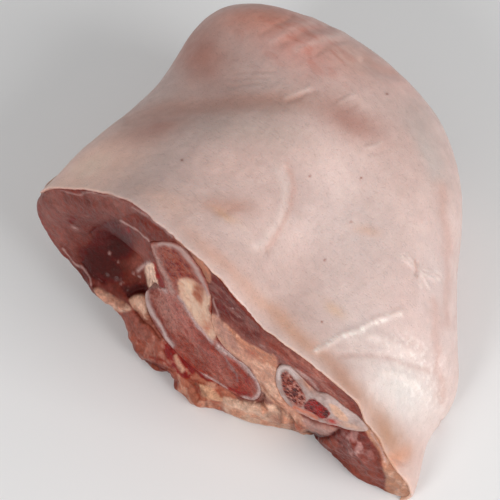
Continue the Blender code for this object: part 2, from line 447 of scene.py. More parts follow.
MUSCLE = ink(122, 70, 63)
# Dark muscle, also used as painted shade over the hollow
DARK_MUSCLE_AND_SHADE = ink(82, 34, 30)
# Muscle as it looks in deep shade: painted shade for the hollow and the creases
MUSCLE_IN_DEEP_SHADE = ink(62, 16, 14)
MUSCLE_GREY = ink(130, 84, 77)
FAT = ink(208, 168, 146)
FAT_PINK = ink(198, 142, 120)
SINEW = ink(190, 158, 152)
CARTILAGE = ink(188, 164, 160)
SPONGE = ink(140, 70, 56)
SPONGE_DARK = ink(100, 36, 28)
MARROW = ink(208, 172, 150)
BLOOD = ink(128, 12, 6)
SKIN = ink(203, 178, 171)
DARKEST = np.array([0.048, 0.002, 0.002])
PALEST = 0.92


def under_light(colours, glare, light):
    """Turn colours as they look in the photograph into colours of the material.

    The wet film adds a little white of its own, the glare, and the studio light
    scales the rest, so both are taken off first.
    """
    return np.clip((colours - glare) / light, DARKEST, PALEST)


print("muscle in linear light:", MUSCLE.round(3))


# %% Laying many layers
def lay_all(colour, *layers):
    """Layers in order, each of them a share and a colour."""
    for share, tint in layers:
        colour = lay(colour, share, tint)
    return colour


def lay_spots(colour, places, spots):
    """Oval spots in order: the middle, two reaches, the tilt, the colour, its share."""
    for middle, reach_x, reach_y, tilt, tint, share in spots:
        colour = lay(colour, share * blot(places, middle, reach_x, reach_y, tilt), tint)
    return colour


def lay_lines(colour, places, lines):
    """Lines in order: the line, its width, its colour, its share."""
    for line, width, tint, share in lines:
        colour = lay(colour, share * streak(places, line, width), tint)
    return colour


print("a half share of fat on muscle:", lay_all(MUSCLE[None], (np.array([0.5]), FAT)).round(3))

# %% [markdown]
# ## Where the rind lies
#
# The butcher has trimmed the underside, so the rind is a sheet that ends. On
# the right it comes down to the surface the hock lies on. On the left it stops
# high up at the knee and falls towards the ankle. Both edges are angles round
# the leg, worked out at a few places along it.

# %% The two edges of the rind
ANGLES = np.radians(np.arange(0, 91, 0.5))
PLACES = np.linspace(0, 1, 41)
RIND_LEFT_AT_KNEE = math.radians(164)
RIND_FALLS_BY = 0.75
ON_TABLE_BELOW = 0.4


def touch_down(direction):
    """The angle, right (-1) or left (+1), at which the skin meets the table."""
    start = 0.0 if direction < 0 else math.pi
    found = []
    for place in PLACES:
        _, z = leg_section(start + direction * ANGLES, place)
        low = np.nonzero(z < ON_TABLE_BELOW)[0]
        found.append(start + direction * ANGLES[low[0] if len(low) else -1])
    return np.convolve(np.pad(found, 2, mode="edge"), np.ones(5) / 5, mode="valid")


TABLE_RIGHT = touch_down(-1)
TABLE_LEFT = touch_down(+1)


def rind_right(v):
    """Angle of the rind's right edge."""
    return np.interp(v, PLACES, TABLE_RIGHT)


def rind_left(v):
    """Angle of the rind's left edge: high at the knee, at the table further on."""
    low = np.interp(v, PLACES, TABLE_LEFT)
    return RIND_LEFT_AT_KNEE + (low - RIND_LEFT_AT_KNEE) * ease(v, 0.0, RIND_FALLS_BY)


def rind_share(angle, v, softness=math.radians(3)):
    """1 where rind covers the leg and 0 where the flesh is bare."""
    half = (rind_left(v) + rind_right(v)) / 2
    away = np.abs((angle - half + math.pi) % (2 * math.pi) - math.pi)
    return 1 - ease(away, (rind_left(v) - rind_right(v)) / 2 - softness, (rind_left(v) - rind_right(v)) / 2)


print("rind at the knee from", np.degrees(rind_right(0.0)).round(), "to", np.degrees(rind_left(0.0)).round())

# %% [markdown]
# ## What the knee cut shows
#
# From the left: a lobe of dark muscle that sinks into a hollow, a flap of torn
# meat below it, the big sawn bone with a strip of marrow fat, a strip of muscle
# under the rind, the small bone in its pale ring, a second muscle, and fat that
# runs out into the toe. Each is an outline in pixels, with no more points than
# its shape needs.

# %% Outlines on the knee cut, in pixels
SHIN_OUTLINE = [(157, 242), (175, 243), (186, 252), (198, 267), (207, 283), (211, 300), (212, 318),
                (219, 338), (234, 356), (248, 367), (257, 380), (261, 391), (257, 399), (247, 399),
                (226, 388), (196, 369), (174, 349), (158, 328), (148, 308), (146, 292), (155, 287),
                (166, 287), (160, 268), (150, 245)]
MARROW_RED = [(194, 285), (201, 287), (204, 296), (201, 304), (196, 300), (194, 293)]
SHIN_MIDDLE, CALF_MIDDLE = (183, 320), (322, 406)
SPONGE_TOP = [(157, 248), (177, 249), (187, 260), (195, 271), (202, 284), (195, 283), (187, 278),
              (178, 279), (172, 284), (166, 272), (160, 260)]
MARROW_STRIP = [(178, 283), (187, 279), (197, 284), (206, 294), (208, 309), (210, 320), (216, 334),
                (212, 340), (200, 327), (188, 310), (180, 296)]
CALF_OUTLINE = [(279, 366), (290, 367), (304, 380), (316, 391), (328, 394), (340, 404), (358, 417),
                (368, 430), (352, 430), (334, 425), (316, 420), (298, 411), (284, 399), (276, 380)]
CALF_SPONGE = [(282, 374), (291, 376), (300, 387), (305, 399), (302, 407), (294, 405), (285, 393)]
CALF_BLOOD = [(310, 399), (319, 402), (329, 414), (322, 419), (311, 413), (303, 409)]
CALF_TAN = [(330, 405), (340, 408), (349, 420), (340, 420), (332, 413)]
TOP_WEDGE = [(121, 219), (140, 214), (160, 226), (177, 242), (158, 242), (147, 241), (134, 231)]
RIM_FAT = [(174, 234), (184, 238), (194, 248), (204, 260), (210, 272), (210, 282), (204, 274), (195, 260),
           (186, 249), (179, 242)]
FAT_BAND = [(209, 314), (217, 318), (229, 327), (241, 338), (258, 348), (277, 360), (277, 380),
            (284, 399), (300, 413), (310, 428), (290, 420), (272, 402), (262, 388), (250, 368), (232, 354),
            (216, 338)]
PALE_BAND = [(214, 316), (224, 324), (234, 340), (240, 354), (230, 348), (220, 334)]
STRIP_DARK = [(206, 266), (216, 277), (236, 302), (262, 332), (250, 336), (232, 322), (214, 308), (209, 288)]
STRIP_BROWN = [(262, 336), (288, 350), (316, 370), (340, 392), (358, 412), (346, 410), (322, 390), (300, 371),
               (280, 357)]
FLAP = [(112, 308), (130, 306), (142, 319), (154, 326), (166, 342), (178, 358), (186, 372), (184, 390),
        (160, 388), (136, 366), (122, 342), (108, 324)]
FLAP_GREY = [(116, 311), (130, 309), (142, 322), (152, 334), (146, 342), (134, 334), (122, 324)]
FLAP_FAT = [(130, 300), (135, 295), (142, 294), (147, 299), (148, 308), (151, 317), (145, 318), (138, 311),
            (133, 307)]
HOLLOW_FAT = [(145, 266), (152, 264), (156, 270), (158, 279), (156, 287), (149, 288), (147, 280)]
LEFT_FAT = [(93, 289), (103, 291), (115, 299), (129, 306), (126, 312), (114, 309), (103, 306)]
LOWER_BROWN = [(178, 366), (198, 374), (216, 384), (236, 396), (238, 416), (206, 420), (182, 406)]
LOWER_CREAM = [(198, 382), (208, 386), (219, 396), (221, 402), (211, 401), (200, 393)]
BOTTOM_FAT = [(223, 398), (240, 400), (256, 402), (268, 404), (284, 411), (302, 424), (312, 436),
              (284, 436), (248, 424), (226, 412)]
GRISTLE = [(303, 418), (318, 423), (336, 427), (334, 433), (322, 435), (308, 430)]
LOW_MUSCLE = [(314, 432), (326, 436), (341, 429), (360, 429), (372, 440), (380, 453), (384, 477),
              (388, 502), (352, 492), (324, 456)]
LOW_LOBE = [(316, 434), (330, 436), (338, 442), (336, 452), (324, 446)]
TOE_FAT = [(362, 418), (374, 431), (392, 447), (404, 462), (416, 492), (402, 508), (388, 500),
           (385, 478), (380, 456), (370, 438)]
BLOOD_CRACK = [(153, 262), (157, 270), (164, 283), (162, 291), (157, 285), (155, 274)]
BLOOD_POOL = [(165, 342), (172, 346), (180, 355), (191, 365), (194, 374), (186, 377), (174, 369), (166, 356)]
STRAND = [(174, 355), (178, 362), (184, 370)]

# Pale lines of sinew, creases with painted shade in them, and red streaks: the line, its width, its strength
PALE_LINES = [
    ([(121, 220), (134, 229), (142, 235), (148, 241)], 0.8, 0.6),
    ([(132, 208), (146, 215), (156, 223), (172, 235)], 1.4, 0.35),
    ([(60, 191), (80, 193), (100, 195), (118, 199)], 1.0, 0.3),
    ([(63, 249), (69, 257), (75, 264), (83, 268), (89, 277), (90, 284)], 1.0, 0.55),
    ([(206, 292), (208, 302), (210, 312)], 1.4, 0.6),
    ([(213, 300), (216, 308), (217, 316)], 1.2, 0.5),
    ([(140, 268), (143, 265), (148, 264)], 2.2, 0.9),
    ([(303, 420), (318, 427), (332, 432)], 2.0, 0.35),
    ([(175, 355), (180, 363), (186, 371)], 1.5, 0.9),
    ([(193, 367), (205, 374), (216, 382)], 1.3, 0.7),
    ([(372, 432), (379, 446), (384, 462)], 1.2, 0.6),
    ([(296, 368), (310, 382), (318, 390)], 1.2, 0.5),
]
CREASES = [
    ([(130, 296), (136, 290), (144, 289)], 2.6, 1.0),
    ([(90, 232), (98, 226), (112, 224), (120, 222)], 2.0, 0.25),
    ([(147, 302), (152, 318), (163, 336), (172, 347)], 1.2, 0.5),
    ([(264, 392), (263, 400), (256, 404), (242, 401)], 1.2, 0.6),
    ([(258, 402), (267, 409), (268, 418)], 1.2, 0.5),
    ([(276, 406), (282, 414), (280, 424)], 1.2, 0.5),
    ([(290, 414), (294, 422), (292, 430)], 1.2, 0.45),
    ([(306, 431), (318, 436), (332, 436), (341, 430)], 1.8, 0.8),
    ([(134, 309), (142, 320), (152, 328), (160, 339)], 1.4, 0.6),
    ([(145, 360), (158, 366), (172, 372)], 1.6, 0.5),
    ([(194, 382), (204, 394), (208, 406)], 1.4, 0.4),
    ([(262, 384), (276, 402), (292, 418), (304, 428)], 1.4, 0.45),
    ([(84, 264), (92, 274), (104, 282)], 2.0, 0.4),
    ([(103, 291), (107, 297), (106, 304)], 1.0, 0.22),
    ([(115, 300), (117, 306), (115, 310)], 1.0, 0.22),
    ([(148, 268), (149, 277), (150, 286)], 0.8, 0.45),
    ([(152, 266), (153, 276), (154, 286)], 0.8, 0.35),
    ([(338, 440), (350, 452), (366, 470)], 1.6, 0.3),
]
RED_STREAKS = [
    ([(194, 368), (206, 377), (218, 384)], 1.6, 0.8),
    ([(218, 384), (234, 391), (250, 399)], 1.1, 0.7),
    ([(182, 366), (192, 378), (206, 384)], 1.3, 0.6),
    ([(150, 358), (160, 361), (170, 366)], 1.2, 0.6),
    ([(186, 376), (196, 388), (200, 398)], 1.3, 0.5),
    ([(206, 324), (210, 330), (214, 336)], 1.6, 0.6),
    ([(326, 421), (332, 423), (338, 425)], 1.6, 0.8),
    ([(38, 206), (42, 224), (54, 244), (70, 266)], 1.4, 0.3),
    ([(44, 190), (80, 190), (116, 195)], 1.4, 0.15),
]
# Pale flecks, partly sinew and partly painted glints of the wet cut, and lumps: the middle, two reaches, the
# tilt, the height in mm
SINEW_FLECKS_AND_GLINTS = [(109, 247), (110, 254), (117, 261), (133, 272), (138, 278), (121, 284), (128, 287),
          (86, 216), (226, 300), (240, 318), (232, 309), (349, 444), (352, 450), (358, 452), (346, 438),
          (136, 272), (245, 335), (262, 346)]
LUMPS = [((99, 295), 7, 5, 30, 1.6), ((110, 302), 6, 4, 20, 1.4), ((122, 307), 6, 4, 20, 1.2),
         ((138, 301), 5, 8, -20, 1.0), ((234, 404), 9, 5, 20, 1.8), ((250, 407), 9, 6, 10, 2.0),
         ((265, 413), 6, 6, 0, 1.8), ((284, 420), 6, 6, 0, 2.2), ((298, 427), 6, 5, 30, 1.6),
         ((150, 275), 5, 8, -10, 1.2), ((208, 394), 10, 5, 45, 1.6), ((146, 345), 12, 9, 50, -1.6),
         ((168, 374), 12, 6, 30, -1.2), ((326, 443), 8, 6, 30, 1.2), ((352, 446), 10, 8, 30, 0.8),
         ((318, 427), 10, 4, 22, 1.2), ((197, 403), 9, 8, 40, 3.0), ((170, 379), 8, 8, 40, -3.0),
         ((60, 212), 26, 12, 20, 1.2), ((100, 210), 26, 9, 12, 1.2),
         ((148, 228), 16, 7, 35, 0.8), ((240, 305), 40, 6, 48, 0.9), ((318, 378), 26, 4, 40, 0.5)]

# The fibres of the muscle strip run down to the right in the picture
FIBRE_WAY, FIBRE_ACROSS = np.array([0.74, 0.67]), np.array([-0.67, 0.74])
# Those of the left lobe and the streaks of the bone run down more steeply
LOBE_WAY, LOBE_ACROSS = np.array([0.6, 0.8]), np.array([-0.8, 0.6])


# %% [markdown]
# ## Colouring the knee cut
#
# A raw cut is many tissues side by side. It could be painted by hand, but a
# painting is a picture, and it would slide off as soon as the shape changes.
# Here each tissue is laid over the last with a soft edge, and a little noise
# moves the places that it reads, so that no border looks drawn with a ruler.

# %% Colour of the left lobe and its hollow
# Each spot: the middle, two reaches, the tilt, the colour, its share
LOBE_PALE = [((70, 210), 36, 14, 12, MUSCLE_GREY, 0.3)]
LOBE_SPOTS = [((72, 221), 4, 4, 0, ink(104, 30, 24), 0.7), ((76, 228), 4, 1.6, 20, SINEW, 0.5)]
# A painted shadow just under the rind's edge
LOBE_SHADE = [([(80, 189), (100, 191), (122, 197)], 3.0, ink(96, 40, 34), 0.6)]
LOBE_ENDS = (120, 150)
# Painted shade over the hollow, with a few paler spots in it
HOLLOW_SHADE_AND_SPOTS = [
    ((110, 253), 34, 34, 0, DARK_MUSCLE_AND_SHADE, 0.95),
    ((120, 246), 12, 12, 0, MUSCLE_IN_DEEP_SHADE, 0.95),
    ((111, 270), 12, 11, 0, MUSCLE_IN_DEEP_SHADE, 0.95),
    ((135, 289), 14, 6, 0, MUSCLE_IN_DEEP_SHADE, 0.95),
    ((92, 262), 9, 16, 0, MUSCLE_IN_DEEP_SHADE, 0.95),
    ((106, 234), 17, 9, -14, ink(84, 36, 32), 0.75),
    ((128, 250), 9, 15, -20, ink(84, 34, 30), 0.6),
    ((122, 264), 9, 7, 30, MUSCLE_GREY, 0.35),
    ((138, 260), 8, 9, 0, ink(150, 92, 82), 0.65),
    ((106, 286), 12, 5, 25, ink(112, 66, 62), 0.6),
]
WEDGE_FOOT = [((140, 252), 7, 9, 0, ink(134, 70, 60), 0.5)]


def drawn_out(seen, way, across, length, size, seed):
    """Noise in the picture that is drawn out, length times, along one way."""
    flat = np.stack([seen @ way / length, seen @ across, np.zeros(len(seen))], axis=-1)
    return cloud(flat, size, 3, seed)


def lobe_colour(colour, seen):
    """Dark muscle with long swirls, and painted shade where it sinks into the hollow."""
    colour = lay_spots(colour, seen, LOBE_PALE)
    swirls = drawn_out(seen, LOBE_WAY, LOBE_ACROSS, 4, 7.0, 65)
    lobe = 1 - ease(seen[:, 0], *LOBE_ENDS)
    colour = lay_all(
        colour,
        (0.25 * lobe * ease(swirls, 0.1, 0.6), ink(146, 102, 94)),
        (0.30 * lobe * ease(-swirls, 0.1, 0.6), ink(96, 46, 41)),
    )
    colour = lay_spots(colour, seen, LOBE_SPOTS)
    colour = lay_lines(colour, seen, LOBE_SHADE)
    colour = lay_spots(colour, seen, HOLLOW_SHADE_AND_SPOTS)
    colour = lay(colour, 0.85 * region(seen, TOP_WEDGE), ink(108, 52, 44))
    return lay_spots(colour, seen, WEDGE_FOOT)


# %% Colour of the muscle strip and of the fat between the bones
STRIP_END = [((354, 408), 9, 5, 50, ink(120, 46, 36), 0.5)]
BAND_SPOTS = [
    ((251, 354), 8, 5, 30, ink(164, 98, 82), 0.8),
    ((272, 392), 8, 10, -30, ink(210, 170, 148), 0.7),
]


def strip_colour(colour, seen, fibres):
    """Two muscles under the rind, with fibres that run down to the right."""
    dark, brown = region(seen, STRIP_DARK, 7), region(seen, STRIP_BROWN, 6)
    colour = lay_all(
        colour,
        (0.8 * dark, ink(98, 44, 40)),
        (0.75 * brown, ink(142, 82, 72)),
        (0.5 * dark * ease(fibres, 0.1, 0.6), ink(144, 98, 90)),
        (0.5 * brown * ease(fibres, 0.0, 0.6), ink(166, 116, 104)),
        (0.45 * np.maximum(dark, brown) * ease(-fibres, 0.1, 0.6), ink(104, 44, 38)),
    )
    return lay_spots(colour, seen, STRIP_END)


def band_colour(colour, seen, broad, fine):
    """Pale fat, browner in broad patches and creamier in fine ones."""
    band = region(seen, FAT_BAND, 3.5)
    colour = lay_all(
        colour,
        (0.9 * region(seen, RIM_FAT, 2.5), ink(172, 116, 94)),
        (band, ink(194, 144, 124)),
        (0.8 * band * ease(broad, -0.1, 0.5), ink(174, 112, 88)),
        (0.5 * band * ease(fine, 0.1, 0.6), ink(214, 170, 146)),
        (0.8 * region(seen, PALE_BAND, 4), ink(168, 122, 110)),
    )
    return lay_spots(colour, seen, BAND_SPOTS)


# %% Colour of the torn flap and of the second muscle
LOW_BROWN = ((364, 478), 30, 20, 40)
LOW_FLECKS = ((352, 448), 18, 22, 60)


def flap_colour(colour, seen, points, fine):
    """The torn flap, and the brown and cream lumps below the big bone."""
    flap, lower = region(seen, FLAP, 3), region(seen, LOWER_BROWN, 3)
    return lay_all(
        colour,
        (flap, ink(158, 92, 78)),
        (0.6 * flap * ease(fine, 0.1, 0.6), ink(178, 124, 110)),
        (0.5 * flap * ease(cloud(points, 4.0, 2, 43), 0.15, 0.6), ink(128, 52, 44)),
        (0.8 * region(seen, FLAP_GREY, 5), ink(142, 88, 78)),
        (lower, ink(176, 110, 90)),
        (0.7 * lower * ease(cloud(points, 5.0, 2, 41), 0.1, 0.6), ink(202, 150, 128)),
        (0.4 * lower * ease(cloud(points, 3.0, 2, 47), 0.2, 0.6), ink(150, 58, 46)),
        (0.9 * region(seen, LOWER_CREAM, 3), ink(212, 164, 134)),
    )


def second_muscle_colour(colour, seen, points):
    """The muscle at the lower right, browner at its foot and flecked with fat."""
    muscle = region(seen, LOW_MUSCLE, 2.5)
    flecks = ease(cloud(points * (1, 1, 0.6), 3.0, 3, 51), 0.15, 0.6)
    return lay_all(
        colour,
        (muscle, ink(112, 60, 55)),
        (0.8 * muscle * blot(seen, *LOW_BROWN), ink(148, 84, 72)),
        (0.7 * muscle * flecks * blot(seen, *LOW_FLECKS), ink(190, 146, 140)),
        (0.7 * region(seen, LOW_LOBE, 3), ink(132, 76, 66)),
    )


# %% Colour of the lumps of fat and of the toe
FAT_PATCHES = [
    (FLAP_FAT, 5, ink(188, 138, 118)),
    (HOLLOW_FAT, 2.5, ink(222, 186, 166)),
    (LEFT_FAT, 4, ink(190, 142, 123)),
    (BOTTOM_FAT, 2.5, FAT),
]
FLAP_FAT_FOOT = [((150, 320), 7, 9, -30, ink(146, 88, 74), 0.85)]
BOTTOM_SPOTS = [
    ((240, 406), 9, 4, 10, ink(218, 184, 164), 0.6),
    ((277, 419), 8, 7, 20, ink(164, 106, 88), 0.8),
    ((298, 428), 10, 7, 20, ink(146, 82, 68), 0.85),
]
TOE_SPOTS = [
    ((392, 459), 9, 14, -30, ink(150, 106, 86), 0.7),
    ((387, 445), 5, 7, -30, ink(176, 104, 80), 0.6),
]


def lump_colour(colour, seen, points):
    """Cream fat in the hollow, at the flap and along the lower edge."""
    for outline, softness, tint in FAT_PATCHES:
        colour = lay(colour, region(seen, outline, softness), tint)
    colour = lay_spots(colour, seen, FLAP_FAT_FOOT)
    shade = region(seen, BOTTOM_FAT, 2) + region(seen, LEFT_FAT, 2) + region(seen, FLAP_FAT, 2)
    colour = lay_all(
        colour,
        (0.7 * shade * ease(cloud(points, 4.0, 3, 61), -0.1, 0.5), ink(190, 126, 100)),
        (0.4 * shade * ease(cloud(points, 5.0, 2, 63), 0.0, 0.5), ink(226, 194, 172)),
    )
    colour = lay_spots(colour, seen, BOTTOM_SPOTS)
    return lay(colour, 0.9 * region(seen, GRISTLE, 3), ink(158, 116, 106))


def toe_colour(colour, seen, broad, fine):
    """Fat that runs out into the toe."""
    toe = region(seen, TOE_FAT, 3)
    colour = lay_all(
        colour,
        (toe, ink(184, 134, 110)),
        (0.7 * toe * ease(broad, -0.2, 0.4), ink(174, 114, 92)),
        (0.6 * toe * ease(fine, 0.1, 0.6), ink(206, 166, 146)),
    )
    return lay_spots(colour, seen, TOE_SPOTS)


# %% Sinew, creases and blood
SPECK_REACHES = (1.9, 1.3)
BLOOD_SPECK = [((128, 230), 3.5, 1.8, 40, BLOOD, 0.9)]


def line_colour(colour, places, points, seen, fine, grain):
    """Pale flecks of sinew and painted glints, lines of sinew, creases with painted shade, red streaks and
    pools.
    """
    near = places + 1.6 * np.stack([cloud(points, 1.8, 2, 55), cloud(points, 1.8, 2, 57)], axis=-1)
    # Pale flecks: some are sinew, some are painted glints of the wet film
    for middle in SINEW_FLECKS_AND_GLINTS:
        colour = lay(colour, 0.6 * blot(near, middle, *SPECK_REACHES) * ease(grain, -0.3, 0.5), SINEW)
    # The creases are painted with shade as well as sunk in the relief
    for lines, tint in ((PALE_LINES, SINEW), (CREASES, MUSCLE_IN_DEEP_SHADE), (RED_STREAKS, BLOOD)):
        for line, width, share in lines:
            colour = lay(colour, share * streak(seen, line, width), tint)
    colour = lay_all(
        colour,
        (0.95 * region(seen, BLOOD_CRACK, 2), BLOOD),
        (0.9 * region(seen, BLOOD_POOL, 4) * (1 - 0.5 * ease(fine, 0.2, 0.6)), BLOOD),
        (0.9 * streak(seen, STRAND, 1.6), ink(208, 160, 136)),
    )
    return lay_spots(colour, seen, BLOOD_SPECK)


# %% Colour of the whole knee cut
# Painted shade: the flesh is darker towards the table
LOWEST_SHADE, SHADE_ABOVE = 0.76, 0.24
SHADE_UP_TO = 32


def flesh_colour(places, points):
    """The tissues laid over one another in order, with painted shade towards the table."""
    seen = places + 2.0 * np.stack([cloud(points, 6.0, 3, 5), cloud(points, 6.0, 3, 9)], axis=-1)
    broad = cloud(points, 14.0, 3, 21)
    fine = cloud(points, 2.2, 3, 31)
    grain = cloud(points, 1.1, 2, 35)
    fibres = drawn_out(seen, FIBRE_WAY, FIBRE_ACROSS, 7, 2.4, 59)
    colour = lay(np.tile(MUSCLE, (len(points), 1)), 0.2 + 0.6 * broad, MUSCLE_GREY)
    colour = lobe_colour(colour, seen)
    colour = strip_colour(colour, seen, fibres)
    colour = band_colour(colour, seen, broad, fine)
    colour = flap_colour(colour, seen, points, fine)
    colour = second_muscle_colour(colour, seen, points)
    colour = lump_colour(colour, seen, points)
    colour = toe_colour(colour, seen, broad, fine)
    colour = line_colour(colour, places, points, seen, fine, grain)
    shade = LOWEST_SHADE + SHADE_ABOVE * ease(points[:, 2], 0, SHADE_UP_TO)
    return colour * (shade * (1 + 0.12 * fine + 0.08 * broad + 0.08 * grain))[:, None]


# %% Relief of the knee cut, in millimetres
FAT_HEIGHT = 0.9
BAND_HEIGHT, FLAP_HEIGHT = 0.4, 0.7
SINEW_HEIGHT = 0.25
CREASE_DEPTH = 1.3
UNDER_BONE_DEPTH = 2.2


def under_bone(points, outline):
    """1 well under a bone and 0 at its edge, where flesh and bone meet flush."""
    far = distance_to(points[:, [0, 2]], on_bone_cut(smooth_line(outline, True)), True)
    return 1 - ease(far, -1.0, 0.3)


def flesh_relief(places, points):
    """How far the flesh stands out of the plain cut, in millimetres."""
    seen = places + 1.5 * cloud(points, 7.0, 2, 5)[..., None]
    height = 0.35 * cloud(points, 9.0, 3, 71) + 0.14 * cloud(points, 2.0, 2, 75)
    for outline in (FLAP_FAT, HOLLOW_FAT, LEFT_FAT, BOTTOM_FAT, LOWER_CREAM):
        height = height + FAT_HEIGHT * region(seen, outline, 4.0)
    height = height + BAND_HEIGHT * region(seen, FAT_BAND, 4.0) + FLAP_HEIGHT * region(seen, FLAP, 4.0)
    height = height + 0.5 * region(seen, LOW_MUSCLE, 5.0) * cloud(points, 3.5, 2, 81)
    height = height + 0.25 * region(seen, FLAP, 5.0) * cloud(points, 3.0, 2, 83)
    for middle, reach_x, reach_y, tilt, high in LUMPS:
        height = height + high * blot(seen, middle, reach_x, reach_y, tilt)
    for line, width, share in CREASES:
        height = height - CREASE_DEPTH * share * streak(seen, line, width)
    for line, width, share in PALE_LINES:
        height = height + SINEW_HEIGHT * share * streak(seen, line, width)
    under = np.maximum(under_bone(points, SHIN_OUTLINE), under_bone(points, CALF_OUTLINE))
    return height * (1 - under) - UNDER_BONE_DEPTH * under


# %% [markdown]
# ## The flesh
#
# One closed surface holds all the flesh. Over the knee cut it is a fine grid: a
# square grid bent into a disc keeps its cells even, where a fan of rays would
# crowd them in the middle. The grid turns over a rounded edge and goes on as
# coarser rings round the leg, because there it is mostly under the rind.

# %% Grid of the knee cut
CUT_COLUMNS, CUT_ROWS = 360, 180
SIDE_RATIO = 4
RIND_THICK = 2.0
RIND_THIN = 0.9
RIND_THICK_FROM = 0.05
RIND_OVERLAP = 0.2
EDGE_UNDER_RIND = 0.8
EDGE_BARE = 3.5
CUT_MIDDLE = np.array([MIDDLE_X[0], MIDDLE_Z[0]], float)
print("the rind is", RIND_THIN, "mm thick at the knee cut and", RIND_THICK, "mm further on")


# %% Points over the knee cut
def rind_depth(v):
    """Thickness of the rind: pressed thin by the knife at the knee cut."""
    return RIND_THIN + (RIND_THICK - RIND_THIN) * ease(v, 0.0, RIND_THICK_FROM)


def flesh_section(angle, v):
    """The leg's section, sunk by the rind's thickness where rind covers it."""
    return leg_section(angle, v, (rind_depth(v) - RIND_OVERLAP) * rind_share(angle, v))


def cut_points(across, up):
    """Points over the knee cut for a square grid, across and up from -1 to 1.

    The square is bent into a disc. The last stretch of each ray turns over a
    quarter circle, so the cut meets the side in a rounded edge.
    """
    disc_x = across * np.sqrt(1 - up**2 / 2)
    disc_z = up * np.sqrt(1 - across**2 / 2)
    angle = np.arctan2(disc_z, disc_x)
    share = np.minimum(np.hypot(disc_x, disc_z), 1.0)
    rim_x, rim_z = flesh_section(angle, 0.0)
    out_x, out_z = rim_x - CUT_MIDDLE[0], rim_z - CUT_MIDDLE[1]
    radius = np.hypot(out_x, out_z)
    covered = rind_share(angle, 0.0)
    edge = EDGE_BARE + (EDGE_UNDER_RIND - EDGE_BARE) * covered
    walked = share * (radius - edge + edge * math.pi / 2)
    bend = np.clip((walked - (radius - edge)) / edge, 0, math.pi / 2)
    reach = np.minimum(walked, radius - edge) + edge * np.sin(bend)
    x = CUT_MIDDLE[0] + out_x / radius * reach
    z = CUT_MIDDLE[1] + out_z / radius * reach
    return np.stack([x, knee_cut(x, z) + edge * (1 - np.cos(bend)), z], axis=-1), angle, edge


grid_across, grid_up = np.meshgrid(np.linspace(-1, 1, CUT_COLUMNS + 1), np.linspace(-1, 1, CUT_ROWS + 1))
cut, cut_angle, cut_edge = cut_points(grid_across, grid_up)
print("the knee cut's grid has", cut.shape[0] * cut.shape[1], "points")


# %% Which way a grid faces
def grid_normals(points):
    """Unit normals of a grid of points, from its two directions."""
    rows = np.gradient(points, axis=0)
    columns = np.gradient(points, axis=1)
    normal = np.cross(columns, rows)
    return normal / np.maximum(np.linalg.norm(normal, axis=-1, keepdims=True), 1e-9)


cut_out = grid_normals(cut)
print("knee cut faces", cut_out[CUT_ROWS // 2, CUT_COLUMNS // 2].round(2))

# %% Relief and colour of the knee cut
RELIEF_PASSES = 2
RIM_FROM, RIM_TO = 0.95, 0.995
flat_cut = cut.reshape(-1, 3)
lift = np.zeros(len(flat_cut))
for _ in range(RELIEF_PASSES):
    lift = flesh_relief(seen_at(flat_cut + lift[:, None] * cut_out.reshape(-1, 3)), flat_cut)
near_rim = ease(np.maximum(np.abs(grid_across), np.abs(grid_up)), RIM_FROM, RIM_TO)
near_rim = (1 - (0.15 + 0.85 * rind_share(cut_angle, 0.0)) * near_rim).ravel()
cut_surface = flat_cut + (lift * near_rim)[:, None] * cut_out.reshape(-1, 3)
cut_surface[:, 2] = np.maximum(cut_surface[:, 2], 0.0)
cut_colour = flesh_colour(seen_at(cut_surface), cut_surface)
print("relief from", lift.min().round(1), "to", lift.max().round(1), "mm")

# %% Rings round the leg and the ankle cut
border = np.concatenate([
    np.arange(CUT_COLUMNS),
    np.arange(CUT_ROWS) * (CUT_COLUMNS + 1) + CUT_COLUMNS,
    CUT_ROWS * (CUT_COLUMNS + 1) + np.arange(CUT_COLUMNS, 0, -1),
    np.arange(CUT_ROWS, 0, -1) * (CUT_COLUMNS + 1),
])
ring_angle = cut_angle.ravel()[border[::SIDE_RATIO]]
SIDE_RINGS = 56
ANKLE_RINGS = 34
GAP_TO_SIDES = 1.5
side_from = (cut_edge.ravel()[border[::SIDE_RATIO]] + GAP_TO_SIDES) / (ANKLE_Y - FACE_Y)
shoulder = 0.5 - 0.5 * np.cos(np.linspace(0, math.pi, SIDE_RINGS))
side_share = 0.6 * np.linspace(0, 1, SIDE_RINGS) + 0.4 * shoulder
side_v = side_from[None, :] + (1 - side_from[None, :]) * side_share[:, None]
side_x, side_z = flesh_section(ring_angle[None, :], side_v)
side_front = knee_cut(side_x, side_z)
sides = np.stack([side_x, side_front + (ANKLE_Y - side_front) * side_v, side_z], axis=-1)

ankle_middle = np.array([MIDDLE_X[-1], ANKLE_Y, MIDDLE_Z[-1]], float)
ankle_share = 1 - (np.arange(ANKLE_RINGS) + 1) / ANKLE_RINGS
ankle = ankle_middle + ankle_share[:-1, None, None] * (sides[-1] - ankle_middle)


# %% Colour of the sides, the underside and the ankle cut
ANKLE_CUT_X, ANKLE_CUT_Z = -12.0, 33.0
ANKLE_CUT_HALF_X, ANKLE_CUT_HALF_Z = 34, 24
CUT_COLOUR_TO, BARE_COLOUR_FROM = FACE_Y + 6, FACE_Y + 16
FAT_LINE_FROM, FAT_LINE_TO = math.radians(5), math.radians(12)


def bare_colour(points):
    """Trimmed flesh: muscle with patches and seams of fat."""
    patches = cloud(points * (1, 0.6, 1), 16.0, 4, 91)
    seams = 1 - ease(np.abs(cloud(points * (1, 0.45, 1), 11.0, 3, 95)), 0.0, 0.16)
    fine = cloud(points, 2.4, 3, 97)
    colour = np.tile(MUSCLE, (len(points), 1))
    colour = lay(colour, 0.35 + 0.5 * fine, MUSCLE_GREY)
    colour = lay(colour, ease(patches, 0.05, 0.35), FAT_PINK)
    colour = lay(colour, 0.7 * ease(patches, 0.3, 0.6), FAT)
    colour = lay(colour, 0.7 * seams, SINEW)
    return colour * (1 + 0.08 * fine)[:, None]


